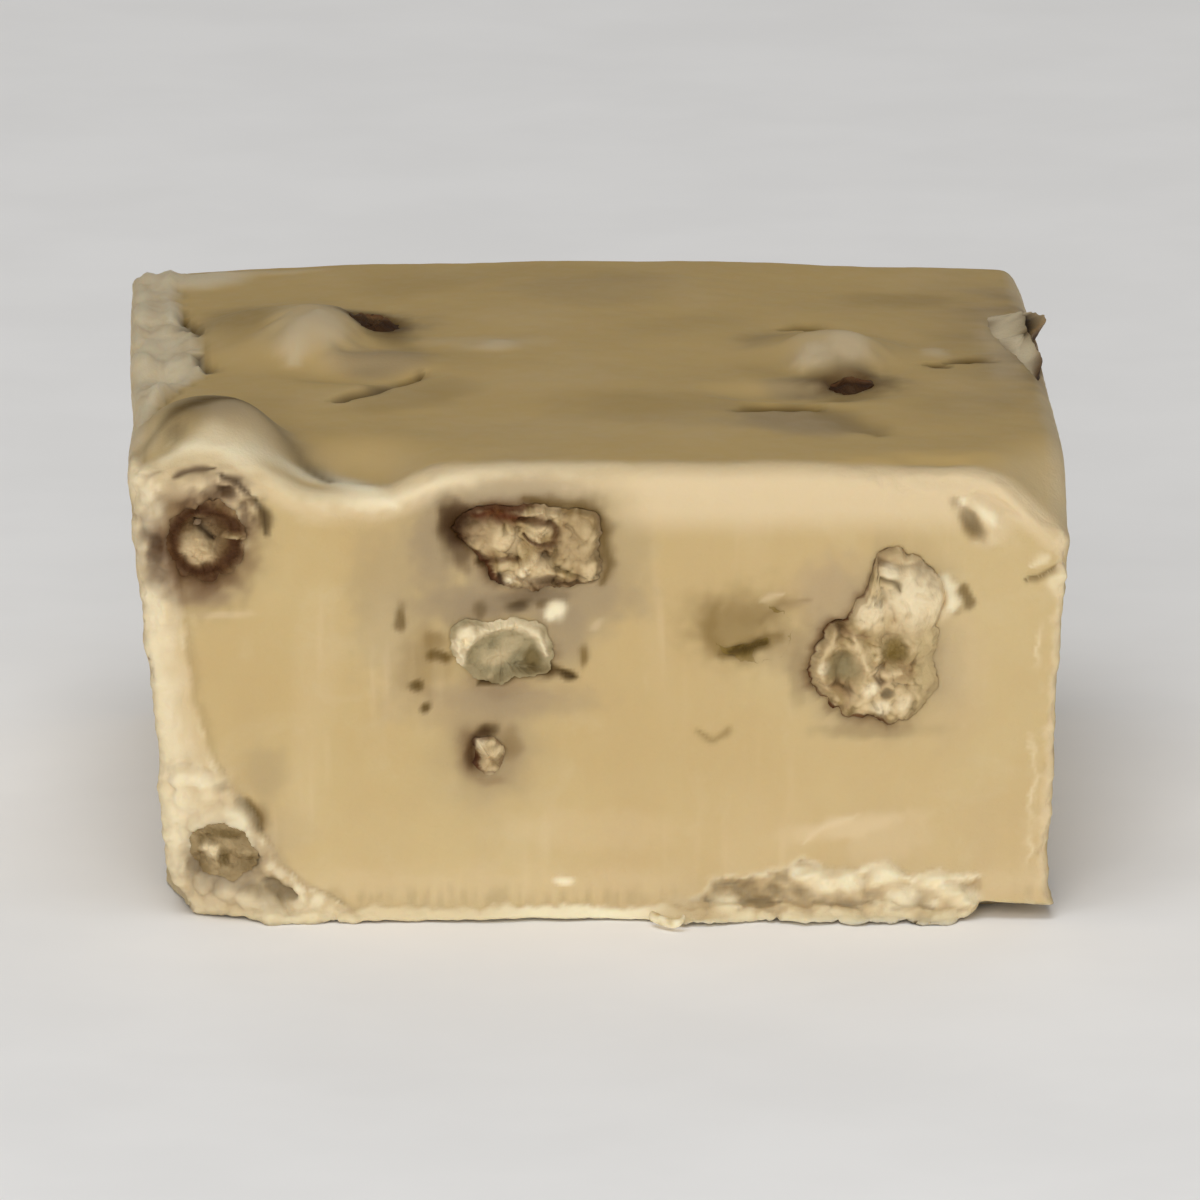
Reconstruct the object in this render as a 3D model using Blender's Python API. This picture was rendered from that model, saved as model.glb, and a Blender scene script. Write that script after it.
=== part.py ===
"""A square of pecan fudge, cut by knife from a poured slab: the fudge itself and each piece of
pecan that shows on its faces.

Metres, +Z up through the poured top. The best cut face looks along -Y, and +X runs to its right.
The origin is the middle of the base.
"""

import math

import bmesh
import bpy
from mathutils import Vector, noise

MM = 0.001

# The slab's square, before the knife's lean and the relief below are added.
WIDTH = 37.0 * MM
DEPTH = 37.4 * MM
THICKNESS = 19.2 * MM

# The cut faces lean: each value is how much wider the top is than the base on that side.
LEFT_LEAN = 1.7 * MM
RIGHT_LEAN = 0.8 * MM
FRONT_LEAN = 0.4 * MM
BACK_LEAN = 0.7 * MM
KNIFE_WAVE = 0.22 * MM  # how far the knife wandered from a plane
KNIFE_WAVE_LENGTH = 9.0 * MM

# Edges: the poured top is dragged down by the knife, and the upright edges are nearly sharp.
TOP_ROUNDING = 0.8 * MM
UPRIGHT_ROUNDING = 0.4 * MM

# The poured top: a low crown, slow waves, and the swellings and dips below.
TOP_CROWN = 0.7 * MM
TOP_WAVE = 0.14 * MM
TOP_WAVE_LENGTH = 7.0 * MM
# (x, y, reach along x, reach along y, height) of each, in mm.
TOP_SWELLINGS = (
    (-15.4, -14.8, 2.3, 2.7, 1.75),  # over the pecan in the front left corner
    (-9.9, -18.6, 2.3, 3.2, -1.05),  # the dip beside it
    (-12.2, 4.2, 3.0, 4.2, 0.75),  # over the pecan sunk at the left
    (-9.0, -3.0, 2.2, 1.3, -0.35),
    (9.8, 0.4, 2.5, 2.4, 0.65),  # over the pecan sunk at the right
    (8.2, -6.8, 2.8, 1.3, -0.40),
    (-19.6, 9.0, 1.6, 13.0, 0.6),  # the knife's burr along the left edge
    (20.6, -20.4, 3.6, 4.6, -3.3),  # the front right corner falls away
    (20.6, 20.0, 1.7, 5.0, -1.8),
)

# The front left edge is smeared back into a band that widens towards the base.
BAND_AT_BASE = 3.7 * MM
BAND_AT_TOP = 1.5 * MM
BAND_SLOPE = 0.45  # how far the band falls back, as a share of its width
CORNER_BREAK = 0.9 * MM  # the crumb missing from that edge's foot
CORNER_BREAK_REACH = 1.8 * MM

# The torn lip that the knife dragged out along the foot of the cut faces.
LIP_HEIGHT = 1.0 * MM
LIP_REACH = 1.7 * MM
LIP_TEAR_LENGTH = 1.7 * MM
LIP_STARTS = -1.0 * MM  # along the front: the strong part of the lip, and where it breaks off
LIP_ENDS = 15.9 * MM
FOOT_RAGGEDNESS = 0.3 * MM  # how far the rim of the base lifts off the table
FOOT_STEP = 0.6 * MM  # the lift past the end of the lip

# The grid that the shapes above are drawn on: fine steps in from each edge, then even ones.
EDGE_STEPS = (0.35 * MM, 0.85 * MM, 1.6 * MM, 2.9 * MM)
EVEN_STEP = 2.4 * MM

GAP = 0.25 * MM  # clearance between a pecan piece and its pocket in the fudge

# Each pecan piece: (name, middle in mm, rounded lobes as (dx, dy, dz, radius) in mm, trimmed).
# Trimmed pieces were cut through by the knife, and the others stand a little out of the top.
PECANS = (
    ("pecan_front_corner", (-16.1, -16.2, 16.4),
     ((-0.6, -1.1, -0.5, 2.05), (0.6, -0.9, 0.5, 2.0), (1.5, -0.9, 0.3, 1.6), (0.2, 1.7, 0.5, 1.8)), True),
    ("pecan_front_upper", (-2.9, -17.5, 15.6),
     ((-2.1, -0.5, 0.4, 1.55), (-0.6, -0.5, -0.3, 2.0), (0.8, -0.5, 0.3, 2.0), (1.9, -0.5, -0.2, 1.6),
      (0.2, 1.8, 0.2, 1.7)), True),
    ("pecan_front_middle", (-4.1, -17.9, 11.2),
     ((-2.8, -0.3, -0.7, 1.1), (-1.3, -0.3, 0.3, 1.45), (0.3, -0.3, 0.2, 1.6), (1.8, -0.3, 0.0, 1.5),
      (2.7, -0.2, -0.8, 0.9), (0.2, 1.2, 0.0, 1.4)), True),
    ("pecan_front_small", (-4.6, -18.3, 6.9),
     ((-0.1, -0.2, 0.0, 1.1), (0.3, 0.3, -0.3, 0.95)), True),
    ("pecan_front_right", (11.4, -17.4, 11.3),
     ((-1.3, -0.6, -1.2, 2.1), (0.2, -0.6, -1.9, 1.75), (-0.2, -0.5, 0.4, 1.9), (0.9, -0.6, 1.7, 1.8),
      (2.3, -0.4, 1.8, 1.3), (0.3, 1.7, 0.0, 1.9)), True),
    ("pecan_front_sunk", (6.1, -17.9, 12.1),
     ((-0.6, -0.3, -0.2, 1.4), (0.7, -0.2, 0.2, 1.3), (0.0, 0.7, 0.0, 1.2)), True),
    ("pecan_left_foot", (-15.5, -16.3, 3.2),
     ((-0.3, -0.8, 0.0, 1.65), (0.6, 0.2, -0.5, 1.5), (-0.8, 0.6, 0.4, 1.4)), True),
    ("pecan_left_high", (-17.4, -6.0, 12.9),
     ((-0.4, -1.6, 0.3, 1.6), (-0.2, 0.3, -0.5, 1.7), (-0.5, 2.0, 0.2, 1.4), (1.4, 0.0, 0.1, 1.6)), True),
    ("pecan_left_low", (-16.6, 5.4, 6.9),
     ((-0.4, -0.9, -0.6, 1.4), (-0.3, 0.8, 0.5, 1.5), (1.0, 0.1, 0.0, 1.3)), True),
    ("pecan_left_back", (-17.6, 13.2, 13.2),
     ((-0.3, 0.0, -0.8, 1.3), (-0.3, 0.7, 0.8, 1.2), (0.9, 0.2, 0.0, 1.2)), True),
    ("pecan_right_high", (17.6, 5.6, 17.0),
     ((0.4, -0.6, 0.3, 1.6), (0.4, 0.9, -0.6, 1.7), (-1.0, 0.0, -0.2, 1.5)), True),
    ("pecan_right_front", (17.2, -9.6, 8.6),
     ((0.5, -1.7, -0.6, 1.5), (0.3, 0.0, 0.4, 1.7), (0.4, 1.8, 0.9, 1.3), (-1.3, 0.1, 0.0, 1.6)), True),
    ("pecan_right_back", (17.0, 12.2, 5.4),
     ((0.4, -0.8, 0.5, 1.4), (0.4, 1.0, -0.3, 1.4), (-1.0, 0.0, 0.1, 1.3)), True),
    ("pecan_back_left", (-9.4, 17.5, 12.0),
     ((-1.9, 0.4, -0.4, 1.5), (0.0, 0.3, 0.5, 1.7), (1.8, 0.5, 0.0, 1.5), (0.0, -1.4, 0.0, 1.6)), True),
    ("pecan_back_low", (1.8, 17.7, 5.8),
     ((-0.7, 0.2, 0.1, 1.25), (0.7, 0.2, -0.4, 1.2), (0.1, -0.8, 0.0, 1.1)), True),
    ("pecan_back_right", (11.2, 17.4, 11.2),
     ((-1.3, 0.4, 1.2, 1.5), (0.3, 0.3, 0.0, 1.7), (1.4, 0.5, -1.4, 1.4), (0.0, -1.4, 0.1, 1.5)), True),
    ("pecan_top_left", (-11.2, 5.6, 17.9),
     ((-1.6, -1.4, -0.1, 1.7), (0.0, 0.2, 0.2, 1.9), (1.9, 1.1, 1.0, 1.5), (0.0, 0.0, -0.6, 1.9)), False),
    ("pecan_top_right", (10.2, -0.9, 17.9),
     ((-1.2, 1.1, 0.1, 1.6), (0.3, 0.3, 0.1, 1.7), (1.0, -1.9, 0.95, 1.4)), False),
)
PECAN_DETAIL = 2  # icosphere subdivisions
PECAN_WRINKLE = 0.07  # share of the radius
PECAN_WRINKLE_PITCH = 3.1

SHARP_ANGLE = math.radians(50)  # edges sharper than this stay crisp under smooth shading

# Each finish: linear RGB, roughness.
FUDGE = ((0.80, 0.59, 0.30), 0.5)
PECAN_FLESH = ((0.74, 0.57, 0.36), 0.7)
PECAN_SKIN = ((0.24, 0.10, 0.035), 0.4)


def clear_scene():
    for obj in list(bpy.data.objects):
        bpy.data.objects.remove(obj, do_unlink=True)


def new_collection(name):
    collection = bpy.data.collections.new(name)
    bpy.context.scene.collection.children.link(collection)
    return collection


def new_material(name, finish):
    colour, roughness = finish
    material = bpy.data.materials.new(name)
    material.use_nodes = True
    shader = material.node_tree.nodes["Principled BSDF"]
    shader.inputs["Base Color"].default_value = (*colour, 1.0)
    shader.inputs["Roughness"].default_value = roughness
    shader.inputs["Metallic"].default_value = 0.0
    material.diffuse_color = (*colour, 1.0)
    return material


def new_object(name, bm, collection, parent, material):
    mesh = bpy.data.meshes.new(name)
    bm.to_mesh(mesh)
    bm.free()
    mesh.shade_smooth()
    mesh.set_sharp_from_angle(angle=SHARP_ANGLE)
    mesh.materials.append(material)
    obj = bpy.data.objects.new(name, mesh)
    obj.parent = parent
    collection.objects.link(obj)
    return obj


def mix(a, b, share):
    return a + (b - a) * share


def smooth_step(low, high, value):
    share = min(max((value - low) / (high - low), 0.0), 1.0)
    return share * share * (3.0 - 2.0 * share)


def ripple(point, length, seed):
    """Smooth noise from -1 to 1, repeating about every `length`."""
    return noise.noise(Vector(point) / length + Vector((seed, 2.0 * seed, 3.0 * seed)))


def knife_wave(a, b, seed):
    return KNIFE_WAVE * ripple((a, b, 0.0), KNIFE_WAVE_LENGTH, seed)


def left_face(y, z):
    return -WIDTH / 2 - LEFT_LEAN * (z / THICKNESS - 0.5) + knife_wave(y, z, 1.3)


def right_face(y, z):
    return WIDTH / 2 + RIGHT_LEAN * (z / THICKNESS - 0.5) + knife_wave(y, z, 2.6)


def front_face(x, z):
    return -DEPTH / 2 - FRONT_LEAN * (z / THICKNESS - 0.5) + knife_wave(x, z, 3.9)


def back_face(x, z):
    return DEPTH / 2 + BACK_LEAN * (z / THICKNESS - 0.5) + knife_wave(x, z, 5.2)


def top_face(x, y):
    height = THICKNESS + TOP_WAVE * ripple((x, y, 0.0), TOP_WAVE_LENGTH, 6.5)
    height += TOP_CROWN * math.cos(math.pi * x / WIDTH) * math.cos(math.pi * (y / DEPTH - 0.3) / 1.6)
    for at_x, at_y, reach_x, reach_y, rise in TOP_SWELLINGS:
        away = ((x / MM - at_x) / reach_x) ** 2 + ((y / MM - at_y) / reach_y) ** 2
        height += rise * MM * math.exp(-away * away / 2)
    return height


def rounded_edges(point):
    """The point moved from the sharp box onto one whose top and upright edges are rounded."""
    near_top = smooth_step(THICKNESS - 4 * TOP_ROUNDING, THICKNESS, point.z)
    radius = mix(UPRIGHT_ROUNDING, TOP_ROUNDING, near_top)
    core = Vector((
        min(max(point.x, radius - WIDTH / 2), WIDTH / 2 - radius),
        min(max(point.y, radius - DEPTH / 2), DEPTH / 2 - radius),
        min(point.z, THICKNESS - radius),
    ))
    out = point - core
    if out.length <= radius:
        return point
    return core + out.normalized() * radius


def smeared_corner(point):
    """The point moved back into the band along the front left edge, and into its broken foot."""
    from_front = point.y + DEPTH / 2
    from_left = point.x + WIDTH / 2
    band = mix(BAND_AT_BASE, BAND_AT_TOP, smooth_step(0.0, 0.6 * THICKNESS, point.z))
    fall = BAND_SLOPE * max(band - from_left, 0.0) * max(1.0 - from_front / (2 * band), 0.0)
    broken = smooth_step(-CORNER_BREAK_REACH, 0.0, -point.z) * smooth_step(-2 * band, 0.0, -from_front)
    inward = CORNER_BREAK * broken * max(1.0 - from_left / (2 * band), 0.0)
    return point + Vector((inward, fall, 0.0))


def lip_share(x, y):
    """How strongly the foot of the cut is torn out here, from 0 to 1."""
    front = smooth_step(0.4 * DEPTH, 0.49 * DEPTH, -y)
    starts = smooth_step(LIP_STARTS, LIP_STARTS + 6 * MM, x)
    ends = smooth_step(-LIP_ENDS, -LIP_ENDS + 1.5 * MM, -x)
    side = smooth_step(0.4, 0.47, abs(x) / WIDTH)
    back = smooth_step(0.4, 0.47, y / DEPTH)
    return max(front * (0.3 + 0.7 * starts) * ends, 0.3 * side, 0.3 * back)


def torn_foot(point):
    """The point moved outwards in the ragged lip at the foot, and up off the table at its rim."""
    low = math.exp(-point.z / LIP_HEIGHT)
    outward = Vector((point.x / WIDTH, point.y / DEPTH, 0.0)) * 2
    at_rim = smooth_step(0.86, 0.99, max(abs(outward.x), abs(outward.y)))
    side_on = Vector((outward.x ** 9, outward.y ** 9, 0.0))
    tear = 0.6 + 0.4 * ripple((point.x, point.y, 0.0), LIP_TEAR_LENGTH, 7.7)
    moved = point + side_on * (LIP_REACH * lip_share(point.x, point.y) * tear * low)
    lift = FOOT_RAGGEDNESS * (0.5 + 0.5 * ripple((point.x, point.y, 0.0), 2 * LIP_TEAR_LENGTH, 9.1))
    past_lip = smooth_step(LIP_ENDS - 1 * MM, LIP_ENDS, point.x)
    lift += FOOT_STEP * past_lip * smooth_step(0.2 * DEPTH, 0.4 * DEPTH, -point.y)
    moved.z += lift * at_rim * math.sqrt(low)
    return moved


def shaped(point):
    """Where a point of the sharp box goes on the real square."""
    x, y, z = torn_foot(smeared_corner(rounded_edges(point)))
    return Vector((
        mix(left_face(y, z), right_face(y, z), x / WIDTH + 0.5),
        mix(front_face(x, z), back_face(x, z), y / DEPTH + 0.5),
        z * top_face(x, y) / THICKNESS,
    ))


def graded_cuts(length):
    """Places of the grid's planes from 0 to length: close together at the ends, even between."""
    inner = length - 2 * EDGE_STEPS[-1]
    count = max(2, round(inner / EVEN_STEP))
    even = [EDGE_STEPS[-1] + inner * i / count for i in range(1, count)]
    return list(EDGE_STEPS) + even + [length - step for step in reversed(EDGE_STEPS)]


def block_mesh():
    """The whole square without its pockets, from a box cut into a grid by planes."""
    bm = bmesh.new()
    bmesh.ops.create_cube(bm, size=1.0)
    bmesh.ops.translate(bm, verts=bm.verts, vec=(0.0, 0.0, 0.5))
    bmesh.ops.scale(bm, verts=bm.verts, vec=(WIDTH, DEPTH, THICKNESS))
    for axis, length, start in ((0, WIDTH, -WIDTH / 2), (1, DEPTH, -DEPTH / 2), (2, THICKNESS, 0.0)):
        normal = Vector([float(i == axis) for i in range(3)])
        for cut in graded_cuts(length):
            geometry = bm.verts[:] + bm.edges[:] + bm.faces[:]
            bmesh.ops.bisect_plane(bm, geom=geometry, plane_co=normal * (start + cut), plane_no=normal)
    for vertex in bm.verts:
        vertex.co = shaped(vertex.co)
    flat = [f for f in bm.faces if all(abs(v.co.z) < 1e-7 for v in f.verts)]
    bmesh.ops.dissolve_faces(bm, faces=flat)
    bmesh.ops.recalc_face_normals(bm, faces=bm.faces)
    return bm


def reach(direction, lobes):
    """How far the outermost lobe reaches from the piece's middle in this direction."""
    furthest = 0.0
    for dx, dy, dz, radius in lobes:
        middle = Vector((dx, dy, dz)) * MM
        along = direction.dot(middle)
        inside = along * along - middle.length_squared + (radius * MM) ** 2
        if inside > 0:
            furthest = max(furthest, along + math.sqrt(inside))
    return furthest


def pecan_mesh(lobes, seed, grow):
    """A lumpy piece of pecan: a sphere pushed out to its lobes, and grown all round by `grow`."""
    bm = bmesh.new()
    bmesh.ops.create_icosphere(bm, subdivisions=PECAN_DETAIL, radius=1.0)
    for vertex in bm.verts:
        direction = vertex.co.normalized()
        wrinkle = PECAN_WRINKLE * ripple(direction, 1.0 / PECAN_WRINKLE_PITCH, seed)
        vertex.co = direction * (reach(direction, lobes) * (1.0 + wrinkle) + grow)
    return bm


def add_boolean(obj, operation, other):
    modifier = obj.modifiers.new(operation.title(), "BOOLEAN")
    modifier.operation = operation
    modifier.solver = "EXACT"
    modifier.object = other


def hide_helper(obj):
    obj.hide_render = True
    obj.display_type = "WIRE"


def main():
    clear_scene()
    parts = new_collection("fudge_square")
    helpers = new_collection("cutters")
    fudge_material = new_material("fudge", FUDGE)
    flesh_material = new_material("pecan_flesh", PECAN_FLESH)
    skin_material = new_material("pecan_skin", PECAN_SKIN)

    middle = bpy.data.objects.new("middle_of_base", None)
    parts.objects.link(middle)

    fudge = new_object("fudge", block_mesh(), parts, middle, fudge_material)
    uncut = bpy.data.objects.new("uncut_block", fudge.data)
    uncut.parent = middle
    helpers.objects.link(uncut)
    hide_helper(uncut)

    for number, (name, place, lobes, trimmed) in enumerate(PECANS, start=1):
        material = flesh_material if trimmed else skin_material
        piece = new_object(name, pecan_mesh(lobes, number, 0.0), parts, middle, material)
        piece.location = Vector(place) * MM
        if trimmed:
            add_boolean(piece, "INTERSECT", uncut)
        pocket = new_object(f"pocket_{number}", pecan_mesh(lobes, number, GAP), helpers, middle, material)
        pocket.location = piece.location
        hide_helper(pocket)
        add_boolean(fudge, "DIFFERENCE", pocket)

    corners = [v.co for v in fudge.data.vertices]
    middle.location.x = -(min(c.x for c in corners) + max(c.x for c in corners)) / 2
    middle.location.y = -(min(c.y for c in corners) + max(c.y for c in corners)) / 2


main()
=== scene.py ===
"""The looks of a square of pecan fudge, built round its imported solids.

The fudge is one fine mesh over a lattice of the same block as the solids, with torn edges, smears
and cracks on it. Each piece of pecan is a fine mesh whose cut face lies on the fudge's surface.
Lengths are in mm until a mesh is made, and +Z goes up through the poured top. The best cut face
looks along -Y, and +X runs to its right.
"""

import math

import bpy
import numpy as np
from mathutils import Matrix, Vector, noise
from mathutils.bvhtree import BVHTree


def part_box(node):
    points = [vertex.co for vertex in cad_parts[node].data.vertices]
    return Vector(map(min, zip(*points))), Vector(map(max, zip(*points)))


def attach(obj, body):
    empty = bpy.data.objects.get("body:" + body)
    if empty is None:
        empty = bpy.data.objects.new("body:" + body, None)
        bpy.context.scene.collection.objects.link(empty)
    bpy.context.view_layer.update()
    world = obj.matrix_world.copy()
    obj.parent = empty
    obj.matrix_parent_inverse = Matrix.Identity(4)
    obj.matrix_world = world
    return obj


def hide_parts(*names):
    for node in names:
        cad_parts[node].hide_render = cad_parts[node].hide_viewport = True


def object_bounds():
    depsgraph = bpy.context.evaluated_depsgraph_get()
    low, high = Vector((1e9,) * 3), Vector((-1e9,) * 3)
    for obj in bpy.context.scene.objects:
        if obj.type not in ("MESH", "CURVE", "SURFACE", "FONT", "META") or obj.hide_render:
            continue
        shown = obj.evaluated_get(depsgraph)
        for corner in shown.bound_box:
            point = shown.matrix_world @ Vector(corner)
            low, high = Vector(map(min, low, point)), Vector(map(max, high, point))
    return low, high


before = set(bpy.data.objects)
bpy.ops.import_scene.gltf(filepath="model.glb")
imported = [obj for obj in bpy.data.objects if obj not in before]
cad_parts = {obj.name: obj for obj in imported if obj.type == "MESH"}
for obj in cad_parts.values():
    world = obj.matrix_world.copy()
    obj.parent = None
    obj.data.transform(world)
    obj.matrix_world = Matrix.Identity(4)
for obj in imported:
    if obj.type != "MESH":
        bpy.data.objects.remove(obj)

CAD_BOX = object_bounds()

MM = 0.001
TAU = 2 * math.pi

# The block, with the names and sizes that the solids have.
WIDTH = 37.0
DEPTH = 37.4
THICKNESS = 19.2
LEFT_LEAN = 1.7
RIGHT_LEAN = 0.8
FRONT_LEAN = 0.4
BACK_LEAN = 0.7
KNIFE_WAVE = 0.22
KNIFE_WAVE_LENGTH = 9.0
TOP_ROUNDING = 0.8
UPRIGHT_ROUNDING = 0.4
TOP_CROWN = 0.7
TOP_WAVE = 0.14
TOP_WAVE_LENGTH = 7.0
# (x, y, reach along x, reach along y, height) of each swelling or dip of the poured top.
TOP_SWELLINGS = (
    (-15.4, -14.8, 2.3, 2.7, 1.75),  # over the pecan in the front left corner
    (-9.9, -18.6, 2.3, 3.2, -1.05),  # the dip beside it
    (-12.2, 4.2, 3.0, 4.2, 0.75),  # over the pecan sunk at the left
    (-9.0, -3.0, 2.2, 1.3, -0.35),
    (9.8, 0.4, 2.5, 2.4, 0.65),  # over the pecan sunk at the right
    (8.2, -6.8, 2.8, 1.3, -0.40),
    (-19.6, 9.0, 1.6, 13.0, 0.6),  # the knife's burr along the left edge
    (20.6, -20.4, 3.6, 4.6, -3.3),  # the front right corner falls away
    (20.6, 20.0, 1.7, 5.0, -1.8),
)
BAND_AT_BASE = 3.7
BAND_AT_TOP = 1.5
BAND_SLOPE = 0.45
CORNER_BREAK = 0.9
CORNER_BREAK_REACH = 1.8
LIP_HEIGHT = 1.0
LIP_REACH = 1.7
LIP_TEAR_LENGTH = 1.7
LIP_STARTS = -1.0
LIP_ENDS = 15.9
FOOT_RAGGEDNESS = 0.3
FOOT_STEP = 0.6

# The lattice of the fudge's mesh along x, y and z: the step at the edges, the step further in, and
# how far from the edges it is reached.
LATTICE = ((0.07, 0.145, 1.5), (0.07, 0.25, 2.0), (0.07, 0.135, 1.5))
LATTICE_MULTIPLE = 4
LATTICE_SAMPLES = 4000
SOCKET_DEPTH = 0.75
MARKS_REACH = 8.0  # no mark of a pecan piece goes further from its middle
# Points round the rim of a pecan piece, rings on its cut face and rings behind it.
FINE_GRID = (230, 64, 12)
PLAIN_GRID = (130, 36, 8)
RAY_START = 40.0  # how far outside the square's middle rays to its surface start
NEAREST_BACK = 22.0  # how far back from there the nearest point is looked for, where a ray misses
GOLDEN_ANGLE = 2.39996

# Directions across, up and out of each face.
FACES = {
    "front": ((1, 0, 0), (0, 0, 1), (0, -1, 0)),
    "right": ((0, 1, 0), (0, 0, 1), (1, 0, 0)),
    "back": ((-1, 0, 0), (0, 0, 1), (0, 1, 0)),
    "left": ((0, -1, 0), (0, 0, 1), (-1, 0, 0)),
    "top": ((1, 0, 0), (0, 1, 0), (0, 0, 1)),
    "right_edge": ((0, 1, 0), (-0.6, 0, 0.8), (0.8, 0, 0.6)),
}
# The other colours: a mesh keeps how much of each lies over its plain one at every point.
CHANNELS = ("pale", "grey", "olive", "tan", "red", "white", "dark", "smooth")


# ---- small sums


def mix(a, b, share):
    return a + (b - a) * share


def smooth_step(low, high, value):
    share = np.clip((value - low) / (high - low), 0.0, 1.0)
    return share * share * (3.0 - 2.0 * share)


def ripple(points, length, seed):
    """Smooth noise from -1 to 1 at each point, repeating about every `length` mm."""
    placed = np.asarray(points) / length + np.array((seed, 2.0 * seed, 3.0 * seed))
    return np.array([noise.noise(place) for place in placed.tolist()])


def crumble(points, length, seed, octaves=4):
    """Rough noise of several sizes, from about -1 to 1, the largest `length` mm."""
    placed = np.asarray(points) / length + np.array((seed, 2.0 * seed, 3.0 * seed))
    return np.array([noise.fractal(place, 0.7, 2.1, octaves) for place in placed.tolist()])


def grains(points, length, seed):
    """Round grains about `length` mm across: 1 at their tops and 0 in the creases between them."""
    placed = np.asarray(points) / length + np.array((seed, 2.0 * seed, 3.0 * seed))
    nearest = np.array([noise.voronoi(place)[0][0] for place in placed.tolist()])
    return np.sqrt(np.clip(1 - (nearest / 0.8) ** 2, 0, 1))


def ridge(value, middle, width):
    """1 where the value is `middle`, falling to 0 about twice `width` from it."""
    return np.exp(-(((value - middle) / width) ** 2))


def on_plane(a, b):
    return np.column_stack((a, b, np.zeros(len(a))))


def blank_tones(count):
    return {name: np.zeros(count) for name in CHANNELS}


# ---- the block


def knife_wave(a, b, seed):
    return KNIFE_WAVE * ripple(on_plane(a, b), KNIFE_WAVE_LENGTH, seed)


def top_face(x, y):
    height = THICKNESS + TOP_WAVE * ripple(on_plane(x, y), TOP_WAVE_LENGTH, 6.5)
    height += TOP_CROWN * np.cos(math.pi * x / WIDTH) * np.cos(math.pi * (y / DEPTH - 0.3) / 1.6)
    for at_x, at_y, reach_x, reach_y, rise in TOP_SWELLINGS:
        away = ((x - at_x) / reach_x) ** 2 + ((y - at_y) / reach_y) ** 2
        height += rise * np.exp(-away * away / 2)
    return height


def rounded_edges(points):
    near_top = smooth_step(-4 * TOP_ROUNDING, 0, points[:, 2] - THICKNESS)
    radius = mix(UPRIGHT_ROUNDING, TOP_ROUNDING, near_top)
    core = np.column_stack((
        np.clip(points[:, 0], radius - WIDTH / 2, WIDTH / 2 - radius),
        np.clip(points[:, 1], radius - DEPTH / 2, DEPTH / 2 - radius),
        np.minimum(points[:, 2], THICKNESS - radius),
    ))
    out = points - core
    length = np.linalg.norm(out, axis=1)
    shrunk = np.minimum(1.0, radius / np.maximum(length, 1e-9))
    return core + out * shrunk[:, None]


def band_width(z):
    return mix(BAND_AT_BASE, BAND_AT_TOP, smooth_step(0.0, 0.6 * THICKNESS, z))


def smeared_corner(points):
    from_front = points[:, 1] + DEPTH / 2
    from_left = points[:, 0] + WIDTH / 2
    band = band_width(points[:, 2])
    fall = BAND_SLOPE * np.maximum(band - from_left, 0) * np.maximum(1 - from_front / (2 * band), 0)
    broken = smooth_step(-CORNER_BREAK_REACH, 0, -points[:, 2])
    broken = broken * smooth_step(-2 * band, 0, -from_front)
    inward = CORNER_BREAK * broken * np.maximum(1 - from_left / (2 * band), 0)
    return points + np.column_stack((inward, fall, np.zeros(len(fall))))


def lip_share(x, y):
    front = smooth_step(0.4 * DEPTH, 0.49 * DEPTH, -y)
    starts = smooth_step(LIP_STARTS, LIP_STARTS + 6, x)
    ends = smooth_step(-LIP_ENDS, -LIP_ENDS + 1.5, -x)
    side = smooth_step(0.4, 0.47, abs(x) / WIDTH)
    back = smooth_step(0.4, 0.47, y / DEPTH)
    return np.maximum(front * (0.3 + 0.7 * starts) * ends, 0.3 * np.maximum(side, back))


def torn_foot(points):
    x, y, z = points.T
    low = np.exp(-z / LIP_HEIGHT)
    outward = np.column_stack((2 * x / WIDTH, 2 * y / DEPTH))
    at_rim = smooth_step(0.86, 0.99, abs(outward).max(axis=1))
    tear = 0.6 + 0.4 * ripple(on_plane(x, y), LIP_TEAR_LENGTH, 7.7)
    moved = points.copy()
    moved[:, :2] += outward ** 9 * (LIP_REACH * lip_share(x, y) * tear * low)[:, None]
    lift = FOOT_RAGGEDNESS * (0.5 + 0.5 * ripple(on_plane(x, y), 2 * LIP_TEAR_LENGTH, 9.1))
    past_lip = smooth_step(LIP_ENDS - 1, LIP_ENDS, x) * smooth_step(0.2 * DEPTH, 0.4 * DEPTH, -y)
    moved[:, 2] += (lift + FOOT_STEP * past_lip) * at_rim * np.sqrt(low)
    return moved


def block_points(points):
    """Where points of the sharp box go on the real square, centred as the solids are."""
    x, y, z = torn_foot(smeared_corner(rounded_edges(points))).T
    left = -WIDTH / 2 - LEFT_LEAN * (z / THICKNESS - 0.5) + knife_wave(y, z, 1.3)
    right = WIDTH / 2 + RIGHT_LEAN * (z / THICKNESS - 0.5) + knife_wave(y, z, 2.6)
    front = -DEPTH / 2 - FRONT_LEAN * (z / THICKNESS - 0.5) + knife_wave(x, z, 3.9)
    back = DEPTH / 2 + BACK_LEAN * (z / THICKNESS - 0.5) + knife_wave(x, z, 5.2)
    placed = np.column_stack((
        mix(left, right, x / WIDTH + 0.5),
        mix(front, back, y / DEPTH + 0.5),
        z * top_face(x, y) / THICKNESS,
    ))
    placed[:, :2] -= (placed[:, :2].min(axis=0) + placed[:, :2].max(axis=0)) / 2
    return placed


# ---- the lattice


def lattice_lines(length, at_ends, between, spread):
    """Places from 0 to length, close together at both ends and further apart between."""
    place = np.linspace(0.0, length, LATTICE_SAMPLES)
    from_end = np.minimum(place, length - place)
    step = mix(at_ends, between, smooth_step(0.0, spread, from_end))
    counted = np.concatenate(([0.0], np.cumsum(2 * np.diff(place) / (step[1:] + step[:-1]))))
    count = LATTICE_MULTIPLE * math.ceil(counted[-1] / LATTICE_MULTIPLE)
    return np.interp(np.linspace(0.0, counted[-1], count + 1), counted, place)


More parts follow.
